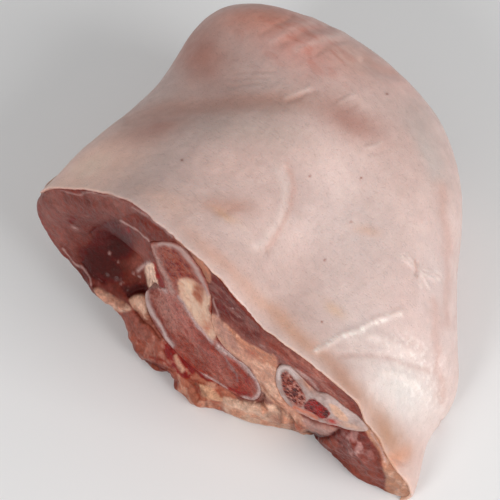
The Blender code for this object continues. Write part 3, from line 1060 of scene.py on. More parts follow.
def ankle_colour(points):
    """The ankle cut: tendons and muscle round the bones, fat under the rind."""
    x, z = points[:, 0] - ANKLE_CUT_X, points[:, 2] - ANKLE_CUT_Z
    out = np.hypot(x / ANKLE_CUT_HALF_X, z / ANKLE_CUT_HALF_Z)
    wave = out + 0.10 * cloud(points, 9.0, 3, 101)
    colour = np.tile(MUSCLE, (len(points), 1))
    colour = lay(colour, 0.4 + 0.5 * cloud(points, 5.0, 3, 103), DARK_MUSCLE_AND_SHADE)
    seams = 1 - ease(np.abs(cloud(points, 13.0, 2, 105)), 0.0, 0.10)
    colour = lay(colour, 0.8 * seams, SINEW)
    colour = lay(colour, ease(wave, 0.80, 0.95), FAT)
    return colour * (1 + 0.07 * cloud(points, 1.6, 2, 107))[:, None]


side_flat = sides.reshape(-1, 3)
ankle_flat = np.concatenate([ankle.reshape(-1, 3), ankle_middle[None]])
side_colour = bare_colour(side_flat)
past_cut = ease(side_flat[:, 1], CUT_COLOUR_TO, BARE_COLOUR_FROM)
side_colour = lay(flesh_colour(seen_at(side_flat), side_flat), past_cut, side_colour)
side_out = np.concatenate([sides[:, -1:], sides, sides[:, :1]], axis=1)
side_out = grid_normals(side_out)[:, 1:-1].reshape(-1, 3)
bare = 1 - rind_share(np.tile(ring_angle, SIDE_RINGS), side_v.ravel())
past_rind = np.abs((ring_angle[None, :] - rind_left(side_v) + math.pi) % (2 * math.pi) - math.pi).ravel()
fat_line = 1 - ease(past_rind, FAT_LINE_FROM, FAT_LINE_TO + 0.1 * cloud(side_flat, 8.0, 2, 113))
side_colour = lay(side_colour, 0.9 * bare * fat_line, FAT)
sunk = bare * (0.5 * cloud(side_flat, 12.0, 3, 111) - 0.3) * (side_flat[:, 2] > 0.5)
side_surface = side_flat + sunk[:, None] * side_out
a_side = 20 * ring_angle.size + 3
print("a side faces", side_out[a_side].round(2), "at", side_flat[a_side].round())

# %% The flesh as one closed mesh
FLESH_GLARE = np.array([0.034, 0.028, 0.026])
FLESH_LIGHT = 0.85
cut_count, side_count = len(cut_surface), len(side_flat)
ring = len(ring_angle)
first_ring = cut_count + np.arange(ring)
ankle_start = cut_count + side_count
flesh_quads = np.concatenate([
    grid_faces(CUT_ROWS + 1, CUT_COLUMNS + 1),
    grid_faces(SIDE_RINGS, ring, cut_count, closed=True)[:, ::-1],
    grid_faces(ANKLE_RINGS - 1, ring, ankle_start, closed=True)[:, ::-1],
    np.stack([ankle_start - ring + np.arange(ring), ankle_start + np.arange(ring),
              ankle_start + (np.arange(ring) + 1) % ring,
              ankle_start - ring + (np.arange(ring) + 1) % ring], axis=-1),
])
pole = ankle_start + len(ankle_flat) - 1
last_ring = pole - ring + np.arange(ring)
flesh_triangles = np.concatenate([
    joining_faces(border, first_ring)[:, ::-1],
    np.stack([last_ring, np.full(ring, pole), np.roll(last_ring, -1)], axis=-1),
])
flesh_tint = np.concatenate([cut_colour, side_colour, ankle_colour(ankle_flat)])
flesh = make_piece(
    "flesh",
    np.concatenate([cut_surface, side_surface, ankle_flat]),
    flesh_quads, flesh_triangles,
    under_light(flesh_tint, FLESH_GLARE, FLESH_LIGHT),
)

# %% [markdown]
# ## The rind
#
# Rind is a sheet about two millimetres thick with a soft cut edge. It could be
# a plain surface with a painted edge, but the edge shows all along the knee
# cut, so it is a real shell: a fine outer grid, a rounded edge, and a coarser
# inner grid that hides in the flesh.

# %% Grid of the rind
RIND_COLUMNS, RIND_ROWS = 400, 200
RIND_ROUND, RIND_LONG = 220.0, 124.0
INNER_RATIO = 4


def sheet_grid(columns, rows, share, grow=0.0):
    """The rind's grid at a share of its depth, grown past its edges by grow mm.

    Columns go round from the right edge to the left one, rows from the knee to
    the ankle.
    """
    a = 0.5 + (np.linspace(0, 1, columns + 1) - 0.5) * (1 + 2 * grow / RIND_ROUND)
    b = 0.5 + (np.linspace(0, 1, rows + 1) - 0.5) * (1 + 2 * grow / RIND_LONG)
    a, b = a[None, :], np.minimum(b, 1.0)[:, None]
    angle = rind_right(b) + a * (rind_left(b) - rind_right(b))
    return leg_point(angle, b, share * rind_depth(b))


def grid_border(columns, rows, start=0):
    """Point numbers round the edge of a grid."""
    wide = columns + 1
    return start + np.concatenate([
        np.arange(columns), np.arange(rows) * wide + columns,
        rows * wide + np.arange(columns, 0, -1), np.arange(rows, 0, -1) * wide,
    ])


# %% The knife's marks on the rind's edge, in millimetres
WOBBLE, NICKS = 0.3, 0.12


def knife_marks(points):
    """How far the knife's wobble moves the rind's edge along the leg, in mm."""
    at_knee = 1 - ease(points[..., 1] - knee_cut(points[..., 0], points[..., 2]), 0.5, 3.5)
    flat = points * (1, 0, 1)
    return at_knee * (WOBBLE * cloud(flat, 4.0, 2, 181) + NICKS * cloud(flat, 1.3, 2, 187))


rind = sheet_grid(RIND_COLUMNS, RIND_ROWS, 0.0)
rind_out = -grid_normals(rind)
print("rind faces", rind_out[100, 200].round(2), "at", rind[100, 200].round())

# %% [markdown]
# ## The skin's folds and stains, and painted shade
#
# Clean rind is pale, but never even: it is pressed into folds, creased at the
# toe, and tan or pink where it dried or was scalded. One noise over all of it
# would look like marble, so each fold, stain and patch of painted shade that is
# seen has its own place, and only the fine unevenness between them is noise.

# %% Folds, wrinkles, stains and painted shade of the rind, in pixels
# Each fold: the line, its width, its height (less than nothing is a groove)
BRIGHT_FOLD = [(316, 350), (342, 337), (370, 325), (388, 314), (400, 310)]
FOLDS = [
    ([(287, 170), (291, 190), (286, 222), (268, 250)], 4.0, -0.35),
    ([(280, 172), (284, 192), (278, 222), (260, 246)], 5.0, 0.25),
    (BRIGHT_FOLD, 2.8, 0.42),
    ([(404, 258), (410, 263), (415, 268)], 1.3, 0.35),
    ([(408, 256), (414, 262), (418, 267)], 1.3, 0.35),
    ([(417, 262), (417, 268), (416, 273)], 1.8, -0.8),
    ([(421, 271), (428, 276), (436, 280)], 1.2, 0.4),
    ([(420, 273), (426, 280), (430, 288)], 1.2, 0.4),
    ([(424, 270), (432, 272), (438, 276)], 1.2, 0.3),
    ([(419, 274), (419, 281), (421, 286)], 1.2, 0.3),
    ([(130, 122), (165, 110), (205, 104), (250, 99), (300, 97)], 8.0, -0.45),
    ([(228, 86), (246, 84), (262, 83)], 1.8, -0.22),
    ([(232, 80), (250, 78), (268, 78)], 1.6, -0.18),
    ([(236, 74), (256, 72), (276, 71)], 1.6, -0.16),
    ([(286, 96), (296, 92), (310, 88)], 3.4, 0.20),
    ([(288, 100), (300, 96), (316, 92)], 3.0, -0.16),
    ([(334, 102), (341, 98), (347, 93)], 2.0, -0.14),
    ([(344, 110), (351, 108), (358, 104)], 2.0, -0.14),
    ([(338, 102), (346, 98), (354, 95)], 3.0, 0.12),
    ([(366, 148), (373, 146), (380, 143)], 1.6, 0.2),
    ([(370, 153), (376, 152), (382, 150)], 1.6, -0.18),
    ([(262, 34), (276, 24), (292, 16)], 3.0, -0.3),
    ([(270, 40), (290, 28), (312, 20)], 3.6, 0.18),
    ([(282, 42), (304, 33), (330, 27)], 3.4, -0.24),
    ([(298, 48), (320, 38), (344, 33)], 3.6, 0.24),
    ([(316, 54), (328, 46), (342, 41)], 3.2, -0.2),
    ([(366, 62), (380, 70), (394, 75)], 7.0, -0.7),
    ([(206, 205), (222, 212), (238, 208)], 5.0, -0.2),
    ([(352, 338), (376, 336), (398, 344), (418, 352)], 5.0, 0.25),
    ([(340, 356), (372, 354), (404, 360), (430, 370)], 3.0, -0.22),
    ([(386, 372), (410, 380), (428, 398)], 4.0, 0.25),
    ([(440, 190), (447, 250), (446, 320)], 7.0, -0.4),
    ([(432, 300), (438, 350), (442, 400)], 5.0, -0.35),
    ([(383, 452), (394, 458), (404, 462)], 2.6, -0.5),
    ([(440, 420), (446, 424), (452, 424)], 2.2, -0.7),
]
# Each stain or patch of painted shade: middle, reach along, reach across, tilt, colour, strength
STAINS_AND_SHADE = [
    ((300, 40), 62, 30, 24, ink(208, 148, 136), 0.85),
    ((262, 14), 50, 16, 0, ink(212, 148, 130), 0.85),
    ((352, 58), 30, 14, 32, ink(214, 172, 158), 0.7),
    ((200, 52), 34, 42, -40, ink(168, 112, 98), 0.8),
    ((92, 168), 62, 24, -30, ink(248, 204, 186), 0.9),
    # The next three are painted shade along the valley behind the knee
    ((158, 125), 40, 12, -22, ink(184, 128, 114), 0.75),
    ((236, 106), 60, 10, -5, ink(196, 148, 134), 0.6),
    ((290, 106), 40, 12, -5, ink(176, 148, 138), 0.6),
    # Painted shade on the shoulder
    ((350, 120), 40, 17, 30, ink(160, 114, 102), 0.75),
    ((430, 160), 12, 44, -20, ink(190, 176, 170), 0.75),
    ((228, 206), 26, 9, 8, ink(182, 138, 122), 0.65),
    ((225, 215), 16, 4, 30, ink(206, 156, 110), 0.4),
    ((336, 309), 12, 6, 35, ink(210, 166, 130), 0.7),
    ((222, 262), 60, 8, 42, ink(196, 152, 134), 0.65),
    ((292, 330), 60, 9, 40, ink(194, 150, 128), 0.8),
    ((354, 388), 46, 10, 46, ink(170, 126, 106), 0.9),
    ((386, 432), 30, 12, 56, ink(166, 118, 90), 0.95),
    ((396, 456), 10, 16, 60, ink(194, 134, 104), 0.8),
    ((402, 484), 10, 12, 0, ink(206, 160, 138), 0.7),
    ((405, 388), 46, 30, 50, ink(208, 199, 194), 0.95),
    ((370, 330), 50, 26, 40, ink(204, 185, 180), 0.6),
    ((352, 232), 66, 46, 40, ink(202, 184, 179), 0.6),
    ((298, 200), 24, 22, 0, ink(172, 148, 142), 0.6),
    ((220, 168), 40, 20, 0, ink(226, 192, 182), 0.6),
    ((400, 84), 22, 14, 40, ink(224, 180, 170), 0.6),
    ((248, 262), 30, 16, 42, ink(184, 158, 150), 0.5),
    ((440, 290), 20, 80, 0, ink(202, 184, 180), 0.7),
    ((404, 292), 16, 30, 10, ink(198, 172, 166), 0.5),
    ((165, 200), 34, 12, 25, ink(208, 170, 154), 0.5),
    ((250, 132), 60, 18, 10, ink(198, 176, 166), 0.5),
    ((366, 233), 12, 5, 20, ink(202, 158, 134), 0.4),
    ((447, 426), 8, 5, 0, ink(176, 110, 84), 0.8),
]
# Dark pricks, and damp spots that glint: the middle, two reaches, the tilt
PRICKS = [(322, 322), (361, 178), (387, 94), (351, 222), (182, 160), (325, 260), (310, 176)]
GLINTS = [((412, 352), 36, 14, 25), ((420, 390), 30, 18, 30)]
PINK_SHIN = ((305, 42), 60, 26, 20)
TOE_OF_RIND = ((404, 372), 56, 30, 30)
print("the rind has", len(FOLDS), "folds and", len(STAINS_AND_SHADE), "stains")


# %% Height and colour at a place on the rind
def rind_relief(places, points):
    """Height of the rind's folds and wrinkles, in millimetres."""
    seen = places + 2.0 * cloud(points, 9.0, 2, 121)[..., None]
    height = 0.40 * cloud(points, 26.0, 3, 123) + 0.08 * cloud(points * (1, 0.5, 1), 4.0, 3, 125)
    for line, width, high in FOLDS:
        height = height + high * streak(seen, line, width)
    ridges = 1 - np.abs(cloud(points * (0.7, 1.6, 1.0), 7.0, 3, 127))
    toe_creases = 1 - np.abs(cloud(points * (0.5, 1.4, 1.4), 4.0, 3, 129))
    return height + 0.08 * ridges + 0.22 * toe_creases * blot(places, *TOE_OF_RIND)


def rind_colour(places, points):
    """Pale skin with soft stains, tan along the cut edge, pink over the shin, painted shade in the valley and
    on the shoulder, painted light and shade on the folds, and painted glints.
    """
    broad = cloud(points, 30.0, 3, 131)
    medium = cloud(points, 9.0, 3, 133)
    fine = cloud(points, 1.8, 2, 135)
    seen = places + 4.0 * np.stack([medium, broad], axis=-1)
    colour = np.tile(SKIN, (len(points), 1))
    colour = lay(colour, 0.25 + 0.5 * broad, ink(198, 170, 162))
    colour = lay(colour, 0.25 * ease(medium, 0.1, 0.6), ink(214, 190, 182))
    colour = lay_spots(colour, seen, STAINS_AND_SHADE)
    grooves = ease(cloud(points * (0.35, 1.0, 1.0), 3.0, 3, 137), 0.1, 0.5)
    colour = lay(colour, 0.5 * grooves * blot(places, *PINK_SHIN), ink(190, 116, 100))
    # Raised folds are painted lighter and grooves darker: painted light and shade, and on the bright fold
    # also its own pale colour
    for line, width, high in FOLDS:
        shade = ink(228, 212, 204) if high > 0 else ink(184, 138, 124)
        colour = lay(colour, min(abs(high), 0.45) * streak(seen, line, width), shade)
    sparkle = ease(cloud(points, 1.3, 2, 139), 0.25, 0.5)
    colour = lay(colour, 0.35 * sparkle * streak(seen, BRIGHT_FOLD, 3.0), ink(250, 244, 236))
    for middle, reach_x, reach_y, tilt in GLINTS:
        glint = 0.32 * sparkle * blot(places, middle, reach_x, reach_y, tilt)
        colour = lay(colour, glint, ink(242, 234, 228))
    for middle in PRICKS:
        colour = lay(colour, 0.9 * blot(places, middle, 1.2, 1.0), ink(130, 60, 40))
    return colour * (1 + 0.025 * fine + 0.015 * medium)[:, None]


# %% Relief and colour of the rind
rind_flat = rind.reshape(-1, 3)
rind_normal = rind_out.reshape(-1, 3)
rind_lift = rind_relief(seen_at(rind_flat), rind_flat)
rows_in, columns_in = np.meshgrid(
    np.linspace(0, 1, RIND_ROWS + 1), np.linspace(0, 1, RIND_COLUMNS + 1), indexing="ij")
from_edge = np.minimum(
    np.minimum(rows_in, 1 - rows_in) * RIND_LONG, np.minimum(columns_in, 1 - columns_in) * RIND_ROUND)
rind_lift = rind_lift * (0.3 + 0.7 * ease(from_edge.ravel(), 0, 6))
rind_surface = rind_flat + rind_lift[:, None] * rind_normal
rind_surface[:, 1] += knife_marks(rind_flat)
rind_surface[:, 2] = np.maximum(rind_surface[:, 2], 0.0)
rind_tint = rind_colour(seen_at(rind_surface), rind_surface)
print("rind relief from", rind_lift.min().round(2), "to", rind_lift.max().round(2), "mm")

# %% The rind as a shell
RIND_GLARE = 0.030
RIND_LIGHT = 0.88
EDGE_RINGS = ((0.25, 0.30), (0.85, 0.25))
outer_border = grid_border(RIND_COLUMNS, RIND_ROWS)
parts = [rind_surface]
tints = [rind_tint]
loops = [outer_border]
for share, grow in EDGE_RINGS:
    ring_points = sheet_grid(RIND_COLUMNS, RIND_ROWS, share, grow).reshape(-1, 3)[outer_border]
    ring_points[:, 1] += knife_marks(ring_points)
    ring_points[:, 2] = np.maximum(ring_points[:, 2], 0.05)
    loops.append(sum(len(part) for part in parts) + np.arange(len(outer_border)))
    parts.append(ring_points)
    to_right = ease(seen_at(ring_points)[:, 0] + 20 * cloud(ring_points, 5.0, 2, 185), 140, 220)
    edge_fat = lay(np.tile(ink(150, 88, 78), (len(ring_points), 1)), to_right, ink(204, 156, 130))
    tints.append(rind_tint[outer_border] + share * (edge_fat - rind_tint[outer_border]))
inner = sheet_grid(RIND_COLUMNS // INNER_RATIO, RIND_ROWS // INNER_RATIO, 1.0)
inner_start = sum(len(part) for part in parts)
inner_border = grid_border(RIND_COLUMNS // INNER_RATIO, RIND_ROWS // INNER_RATIO, inner_start)
parts.append(inner.reshape(-1, 3))
tints.append(np.tile(FAT, (len(parts[-1]), 1)))
print("the shell's points:", [len(part) for part in parts])


# %% Faces of the shell
def band_faces(near, far):
    """Faces between two closed loops of equally many points."""
    return np.stack([near, far, np.roll(far, -1), np.roll(near, -1)], axis=-1)


rind_quads = np.concatenate([
    grid_faces(RIND_ROWS + 1, RIND_COLUMNS + 1)[:, ::-1],
    band_faces(loops[0], loops[1])[:, ::-1],
    band_faces(loops[1], loops[2])[:, ::-1],
    grid_faces(RIND_ROWS // INNER_RATIO + 1, RIND_COLUMNS // INNER_RATIO + 1, inner_start),
])
rind_piece = make_piece(
    "rind", np.concatenate(parts), rind_quads,
    joining_faces(loops[2], inner_border),
    under_light(np.concatenate(tints), RIND_GLARE, RIND_LIGHT),
)

# %% [markdown]
# ## The bones
#
# Each bone runs through the hock from cut to cut. Its end in the knee cut has
# the outline that is seen there, and further in it turns into the oval of its
# shaft. A polar grid suits it: rings from the middle of the sawn face to its
# edge, over the rounded edge, and along the bone to the ankle.

# %% Sizes of the bones, in millimetres
BONES = {
    "shin_bone": dict(x=(12, 6, -3, -11, -18, -24), z=(46, 44, 40, 37, 35, 33),
                      long=(37, 29, 19, 14, 14, 17), short=(17, 16, 14, 12, 11, 13), tilt=107),
    "calf_bone": dict(x=(54, 44, 32, 20, 9, 1), z=(40, 38, 36, 35, 34, 33),
                      long=(16, 10, 6, 5, 5, 7), short=(9, 7, 5, 4, 4, 5), tilt=-16),
}
BONE_AROUND = 240
BONE_FACE_RINGS = 96
BONE_SHAFT_RINGS = 30
BONE_ANKLE_RINGS = 16
BONE_EDGE = 0.6
BONE_PROUD = 0.45
BONE_PAST_ANKLE = 0.3
SHAFT_STARTS, SHAFT_OVAL_FROM = 0.02, 0.28
print("the shin bone's shaft, long and short:", 2 * min(BONES["shin_bone"]["long"]), "mm and",
      2 * min(BONES["shin_bone"]["short"]), "mm")


# %% Rings of points along a bone
def polar_outline(pixels, middle_pixel):
    """An outline's radius on the knee cut, by angle round a given middle."""
    line = on_bone_cut(smooth_line(pixels, True))
    middle = on_bone_cut([middle_pixel])[0]
    angle = np.arctan2(line[:, 1] - middle[1], line[:, 0] - middle[0]) % (2 * math.pi)
    radius = np.hypot(line[:, 0] - middle[0], line[:, 1] - middle[1])
    order = np.argsort(angle)
    around = np.arange(BONE_AROUND) * 2 * math.pi / BONE_AROUND
    return middle, around, np.interp(around, angle[order], radius[order], period=2 * math.pi)


def bone_rings(bone, pixels, middle_pixel):
    """Rings of points over the sawn face, along the bone, and over the ankle end."""
    middle, around, outline = polar_outline(pixels, middle_pixel)
    turned = around - math.radians(bone["tilt"])
    edge = BONE_EDGE
    rings = []
    for share in np.linspace(0, 1, BONE_FACE_RINGS + 1)[1:]:
        walked = share * (outline - edge + edge * math.pi / 2)
        bend = np.clip((walked - outline + edge) / edge, 0, math.pi / 2)
        reach = np.minimum(walked, outline - edge) + edge * np.sin(bend)
        x, z = middle[0] + reach * np.cos(around), middle[1] + reach * np.sin(around)
        rings.append(np.stack([x, bone_cut(x, z) - BONE_PROUD + edge * (1 - np.cos(bend)), z], axis=-1))
    for v in np.linspace(SHAFT_STARTS, 1, BONE_SHAFT_RINGS):
        long_half, short_half = along(v, bone["long"]), along(v, bone["short"])
        oval = ((np.cos(turned) / long_half) ** 2 + (np.sin(turned) / short_half) ** 2) ** -0.5
        inward = ease(v, SHAFT_STARTS, SHAFT_OVAL_FROM)
        reach = outline + (oval - outline) * inward
        x = along(v, bone["x"]) + (middle[0] - bone["x"][0]) * (1 - inward) + reach * np.cos(around)
        z = along(v, bone["z"]) + (middle[1] - bone["z"][0]) * (1 - inward) + reach * np.sin(around)
        front = bone_cut(x, z)
        rings.append(np.stack([x, front + (ANKLE_Y - front) * v, z], axis=-1))
    rings[-1][:, 1] = ANKLE_Y + BONE_PAST_ANKLE
    centre = rings[-1].mean(axis=0)
    ankle_edge = rings[-1]
    for share in np.linspace(1, 0, BONE_ANKLE_RINGS + 1)[1:-1]:
        rings.append(centre + share * (ankle_edge - centre))
    pole = np.array([middle[0], bone_cut(*middle) - BONE_PROUD, middle[1]])
    return np.array(rings), pole, centre


# %% [markdown]
# ## The sawn faces
#
# A saw leaves bone as a pale dense rim round a red sponge, with cream marrow
# fat smeared over it. The sponge is noise with cells of about a millimetre, and
# each colour also says how pitted it is, because the rim and the fat are smooth.

# %% Colours of the sawn shin bone
# Each line: the line, its width, its colour, its share
TOP_RIM = [(158, 245), (174, 246), (184, 253), (194, 266), (203, 281), (208, 295)]
LEFT_RIM = [(147, 292), (148, 306), (155, 320), (166, 337), (172, 346)]
RIGHT_RIM = [(218, 346), (234, 358), (248, 369), (257, 381), (259, 392), (254, 398), (244, 397)]
SHIN_LINES = [
    ([(166, 290), (178, 312), (196, 338), (220, 368)], 4.5, ink(168, 104, 96), 0.45),
    ([(150, 300), (160, 320), (178, 344), (204, 368)], 3.0, ink(126, 54, 44), 0.55),
    ([(206, 340), (222, 358), (236, 378)], 3.2, ink(126, 54, 46), 0.6),
    ([(215, 347), (226, 358), (233, 371), (237, 382)], 1.1, ink(140, 112, 110), 0.8),
    ([(224, 350), (238, 366), (250, 386)], 4.0, ink(150, 62, 50), 0.5),
    ([(178, 296), (188, 312), (200, 329), (212, 342)], 1.8, ink(176, 150, 148), 0.75),
    (RIGHT_RIM, 2.2, CARTILAGE, 0.9),
    (TOP_RIM, 2.0, ink(176, 148, 142), 0.8),
    ([(152, 246), (158, 262), (166, 278), (172, 292)], 2.8, ink(172, 134, 126), 0.85),
    (LEFT_RIM, 2.6, CARTILAGE, 0.95),
    ([(150, 287), (158, 285), (164, 290)], 3.0, ink(182, 152, 148), 0.8),
    ([(174, 348), (190, 363), (206, 373)], 1.4, ink(150, 60, 48), 0.6),
    ([(196, 371), (210, 378), (226, 387)], 1.1, CARTILAGE, 0.6),
    ([(208, 296), (208, 308), (211, 318)], 1.6, ink(206, 172, 150), 0.8),
]
SHIN_PALE = ((168, 308), 13, 22, -35)
MARROW_SPOTS = [
    ((191, 287), 4, 4, 0, ink(222, 186, 158), 0.6),
    ((208, 328), 5, 5, 0, ink(172, 98, 76), 0.7),
]
SHIN_BLOOD, SHIN_RED = ((248, 381), 2.0, 4.5, -30), ((244, 388), 10, 5, 30)
SHIN_BLOOD_LINE = [(228, 387), (240, 392), (250, 396)]
RIM_WIDTH = 3.0


def shin_colour(places, points):
    """Spongy red bone in a pale rim, with marrow fat and blood, and how pitted it is."""
    wander = np.stack([cloud(points, 5.0, 3, 141), cloud(points, 5.0, 3, 143)], axis=-1)
    seen = places + 1.8 * wander
    sponge = cloud(points, 1.2, 3, 145)
    grain = cloud(points * (1, 1, 0.35), 2.6, 3, 147)
    patches = cloud(points, 6.0, 3, 149)
    streaks = drawn_out(seen, LOBE_WAY, LOBE_ACROSS, 5, 2.6, 167)
    top = region(seen, SPONGE_TOP, 4)
    marrow = region(seen, MARROW_STRIP, 5)
    colour = lay_all(
        np.tile(ink(142, 72, 60), (len(points), 1)),
        (0.6 * ease(grain, -0.1, 0.6), ink(160, 94, 82)),
        (0.7 * ease(patches, 0.0, 0.6), ink(118, 48, 40)),
        (0.8 * blot(seen, *SHIN_PALE), ink(170, 120, 110)),
        (0.55 * ease(streaks, 0.0, 0.6), ink(160, 106, 96)),
        (0.55 * ease(-streaks, 0.1, 0.6), ink(118, 48, 40)),
        (0.95 * top, SPONGE),
        (0.85 * top * ease(sponge, 0.1, 0.45), SPONGE_DARK),
        (0.4 * top * ease(-sponge, 0.2, 0.6), ink(176, 112, 94)),
        (0.6 * region(seen, MARROW_STRIP, 9), ink(176, 122, 104)),
        (marrow, MARROW),
        (0.6 * marrow * ease(cloud(points, 4.0, 3, 155), 0.0, 0.6), ink(194, 144, 120)),
        (0.95 * region(seen + 1.5 * wander, MARROW_RED, 4), ink(148, 80, 58)),
        (0.5 * marrow * ease(cloud(points, 1.6, 3, 169), 0.0, 0.6), ink(186, 134, 112)),
    )
    colour = lay_spots(colour, seen, MARROW_SPOTS)
    colour = lay_lines(colour, seen, SHIN_LINES)
    colour = lay_all(
        colour,
        (0.6 * blot(seen, *SHIN_BLOOD), BLOOD),
        (0.8 * streak(seen, SHIN_BLOOD_LINE, 1.8), BLOOD),
        (0.5 * blot(seen, *SHIN_RED), ink(150, 44, 34)),
    )
    # Painted shade: the sawn face is darker towards the table
    colour = colour * (0.86 + 0.14 * ease(points[:, 2], 4, 40))[:, None]
    rim = np.maximum(streak(seen, TOP_RIM, RIM_WIDTH), streak(seen, LEFT_RIM, RIM_WIDTH))
    pitted = 1 - 0.8 * np.maximum(marrow, rim)
    return colour * (1 + pitted * (0.14 * sponge + 0.06 * grain))[:, None], pitted


# %% Colours of the sawn calf bone
CALF_SPOTS = [
    ((308, 384), 7, 3.5, 48, ink(182, 124, 100), 0.8),
    ((342, 409), 18, 5, 40, ink(194, 172, 166), 0.8),
]
CALF_FOOT = ((350, 426), 12, 3, 15)
CALF_RED = ((332, 422), 6, 2.4, 20)
CALF_RIM = [(279, 378), (280, 370), (288, 369), (298, 377)]
CALF_EDGE = [(294, 408), (304, 412), (316, 418)]


def calf_colour(places, points):
    """A pale ring round spongy bone, with blood and gristle, and how pitted it is."""
    wander = np.stack([cloud(points, 4.0, 3, 151), cloud(points, 4.0, 3, 153)], axis=-1)
    seen = places + 1.4 * wander
    sponge = cloud(points, 1.1, 2, 155)
    ring = region(seen, CALF_SPONGE, 2.5)
    blood = region(seen, CALF_BLOOD, 2.5)
    colour = np.tile(ink(170, 146, 140), (len(points), 1))
    colour = lay(colour, 0.6 * ease(cloud(points, 4.0, 2, 157), -0.1, 0.5), ink(148, 116, 108))
    colour = lay_spots(colour, seen, CALF_SPOTS)
    colour = lay_all(
        colour,
        (0.9 * region(seen, CALF_TAN, 3), ink(206, 162, 138)),
        (0.7 * blot(seen, *CALF_FOOT), ink(202, 158, 136)),
        (0.8 * region(seen, CALF_SPONGE, 7), ink(140, 108, 102)),
        (0.95 * ring, ink(140, 72, 60)),
        (0.9 * ring * ease(sponge, 0.0, 0.4), ink(74, 26, 22)),
        (0.6 * ring * ease(-sponge, 0.2, 0.5), ink(192, 140, 128)),
        (0.9 * streak(seen, CALF_RIM, 2.0), ink(196, 176, 172)),
        (blood, BLOOD),
        (0.7 * blood * ease(sponge, 0.1, 0.5), ink(60, 6, 4)),
        (0.35 * blood * ease(-sponge, 0.2, 0.5), ink(170, 70, 54)),
        (0.9 * streak(seen, CALF_EDGE, 1.8), ink(190, 110, 86)),
        (0.9 * blot(seen, *CALF_RED), ink(160, 36, 24)),
    )
    return colour * (1 + 0.07 * sponge)[:, None], 0.25 + 0.75 * np.maximum(ring, blood)


# %% Relief of the sawn faces
def bone_relief(points, share):
    """Pits of the spongy bone, fading at the rounded edge."""
    pits = 0.30 * cloud(points, 1.6, 2, 161) + 0.4 * cloud(points, 8.0, 2, 163)
    return pits * (1 - ease(share, 0.9, 1.0))


# %% Colours of the shafts and of the ankle ends
CORTEX = ink(214, 190, 172)
SHAFT_FROM, SHAFT_TO = 30.0, 50.0
CORE_TO, RING_FROM = 0.66, 0.78


def whole_bone_colour(points, tint, rings, centre):
    """A sawn face's colour, pale along the shaft, with a spongy core at the ankle."""
    cortex = CORTEX * (1 + 0.08 * cloud(points, 3.0, 3, 171))[:, None]
    tint = lay(tint, ease(points[:, 1], SHAFT_FROM, SHAFT_TO), cortex)
    reach = np.hypot(*(points[:, [0, 2]] - centre[[0, 2]]).T)
    widest = np.hypot(*(rings[BONE_FACE_RINGS + BONE_SHAFT_RINGS - 1] - centre)[:, [0, 2]].T)
    widest = np.tile(widest, len(points) // BONE_AROUND + 1)[:len(points)]
    outwards = reach / widest + 0.05 * cloud(points, 2.0, 2, 173)
    core = (points[:, 1] > ANKLE_Y) * (1 - ease(outwards, CORE_TO, RING_FROM))
    return lay(tint, core, SPONGE * (1 + 0.3 * cloud(points, 1.3, 2, 175))[:, None])


# %% The two bones
bone_pieces = {}
for name, outline, middle_pixel, tissue in (("shin_bone", SHIN_OUTLINE, SHIN_MIDDLE, shin_colour),
                                            ("calf_bone", CALF_OUTLINE, CALF_MIDDLE, calf_colour)):
    rings, pole_point, ankle_point = bone_rings(BONES[name], outline, middle_pixel)
    count = len(rings) * BONE_AROUND
    points = np.concatenate([rings.reshape(-1, 3), [pole_point, ankle_point]])
    face_share = np.ones(len(points))
    face_share[:BONE_FACE_RINGS * BONE_AROUND] = np.repeat(
        np.linspace(0, 1, BONE_FACE_RINGS + 1)[1:], BONE_AROUND)
    points[:, 1] -= bone_relief(points, face_share)
    tint, pitted = tissue(seen_at(points), points)
    tint = under_light(whole_bone_colour(points, tint, rings, ankle_point), FLESH_GLARE, FLESH_LIGHT)
    first = np.arange(BONE_AROUND)
    last = count - BONE_AROUND + first
    quads = grid_faces(len(rings), BONE_AROUND, closed=True)[:, ::-1]
    ends = np.concatenate([
        np.stack([first, np.roll(first, -1), np.full(BONE_AROUND, count)], axis=-1),
        np.stack([last, np.full(BONE_AROUND, count + 1), np.roll(last, -1)], axis=-1),
    ])
    bone_pieces[name] = make_piece(name + "_sawn", points, quads, ends, tint, {"pitted": pitted})
    print(name, "has", len(points), "points")

# %% [markdown]
# ## Finishes
#
# Each material takes its broad colours from the mesh and adds what is finer
# than the mesh: pores and fine creases on the rind, fibres and wet gloss on the
# flesh, pits on the bone. A small class lets a shader be written as sums.


# %% Shader sums
class Wire:
    """A shader socket in a sum: each operator adds one Math node."""

    def __init__(self, finish, socket):
        self.finish, self.socket = finish, socket

    def sum(self, operation, first, second):
        """The result of one Math node on two values or wires."""
        return self.finish.node("ShaderNodeMath", {"operation": operation}, {0: first, 1: second})

    def __add__(self, other):
        return self.sum("ADD", self, other)

    def __sub__(self, other):
        return self.sum("SUBTRACT", self, other)

    def __rsub__(self, other):
        return self.sum("SUBTRACT", other, self)

    def __mul__(self, other):
        return self.sum("MULTIPLY", self, other)

    __radd__ = __add__
    __rmul__ = __mul__


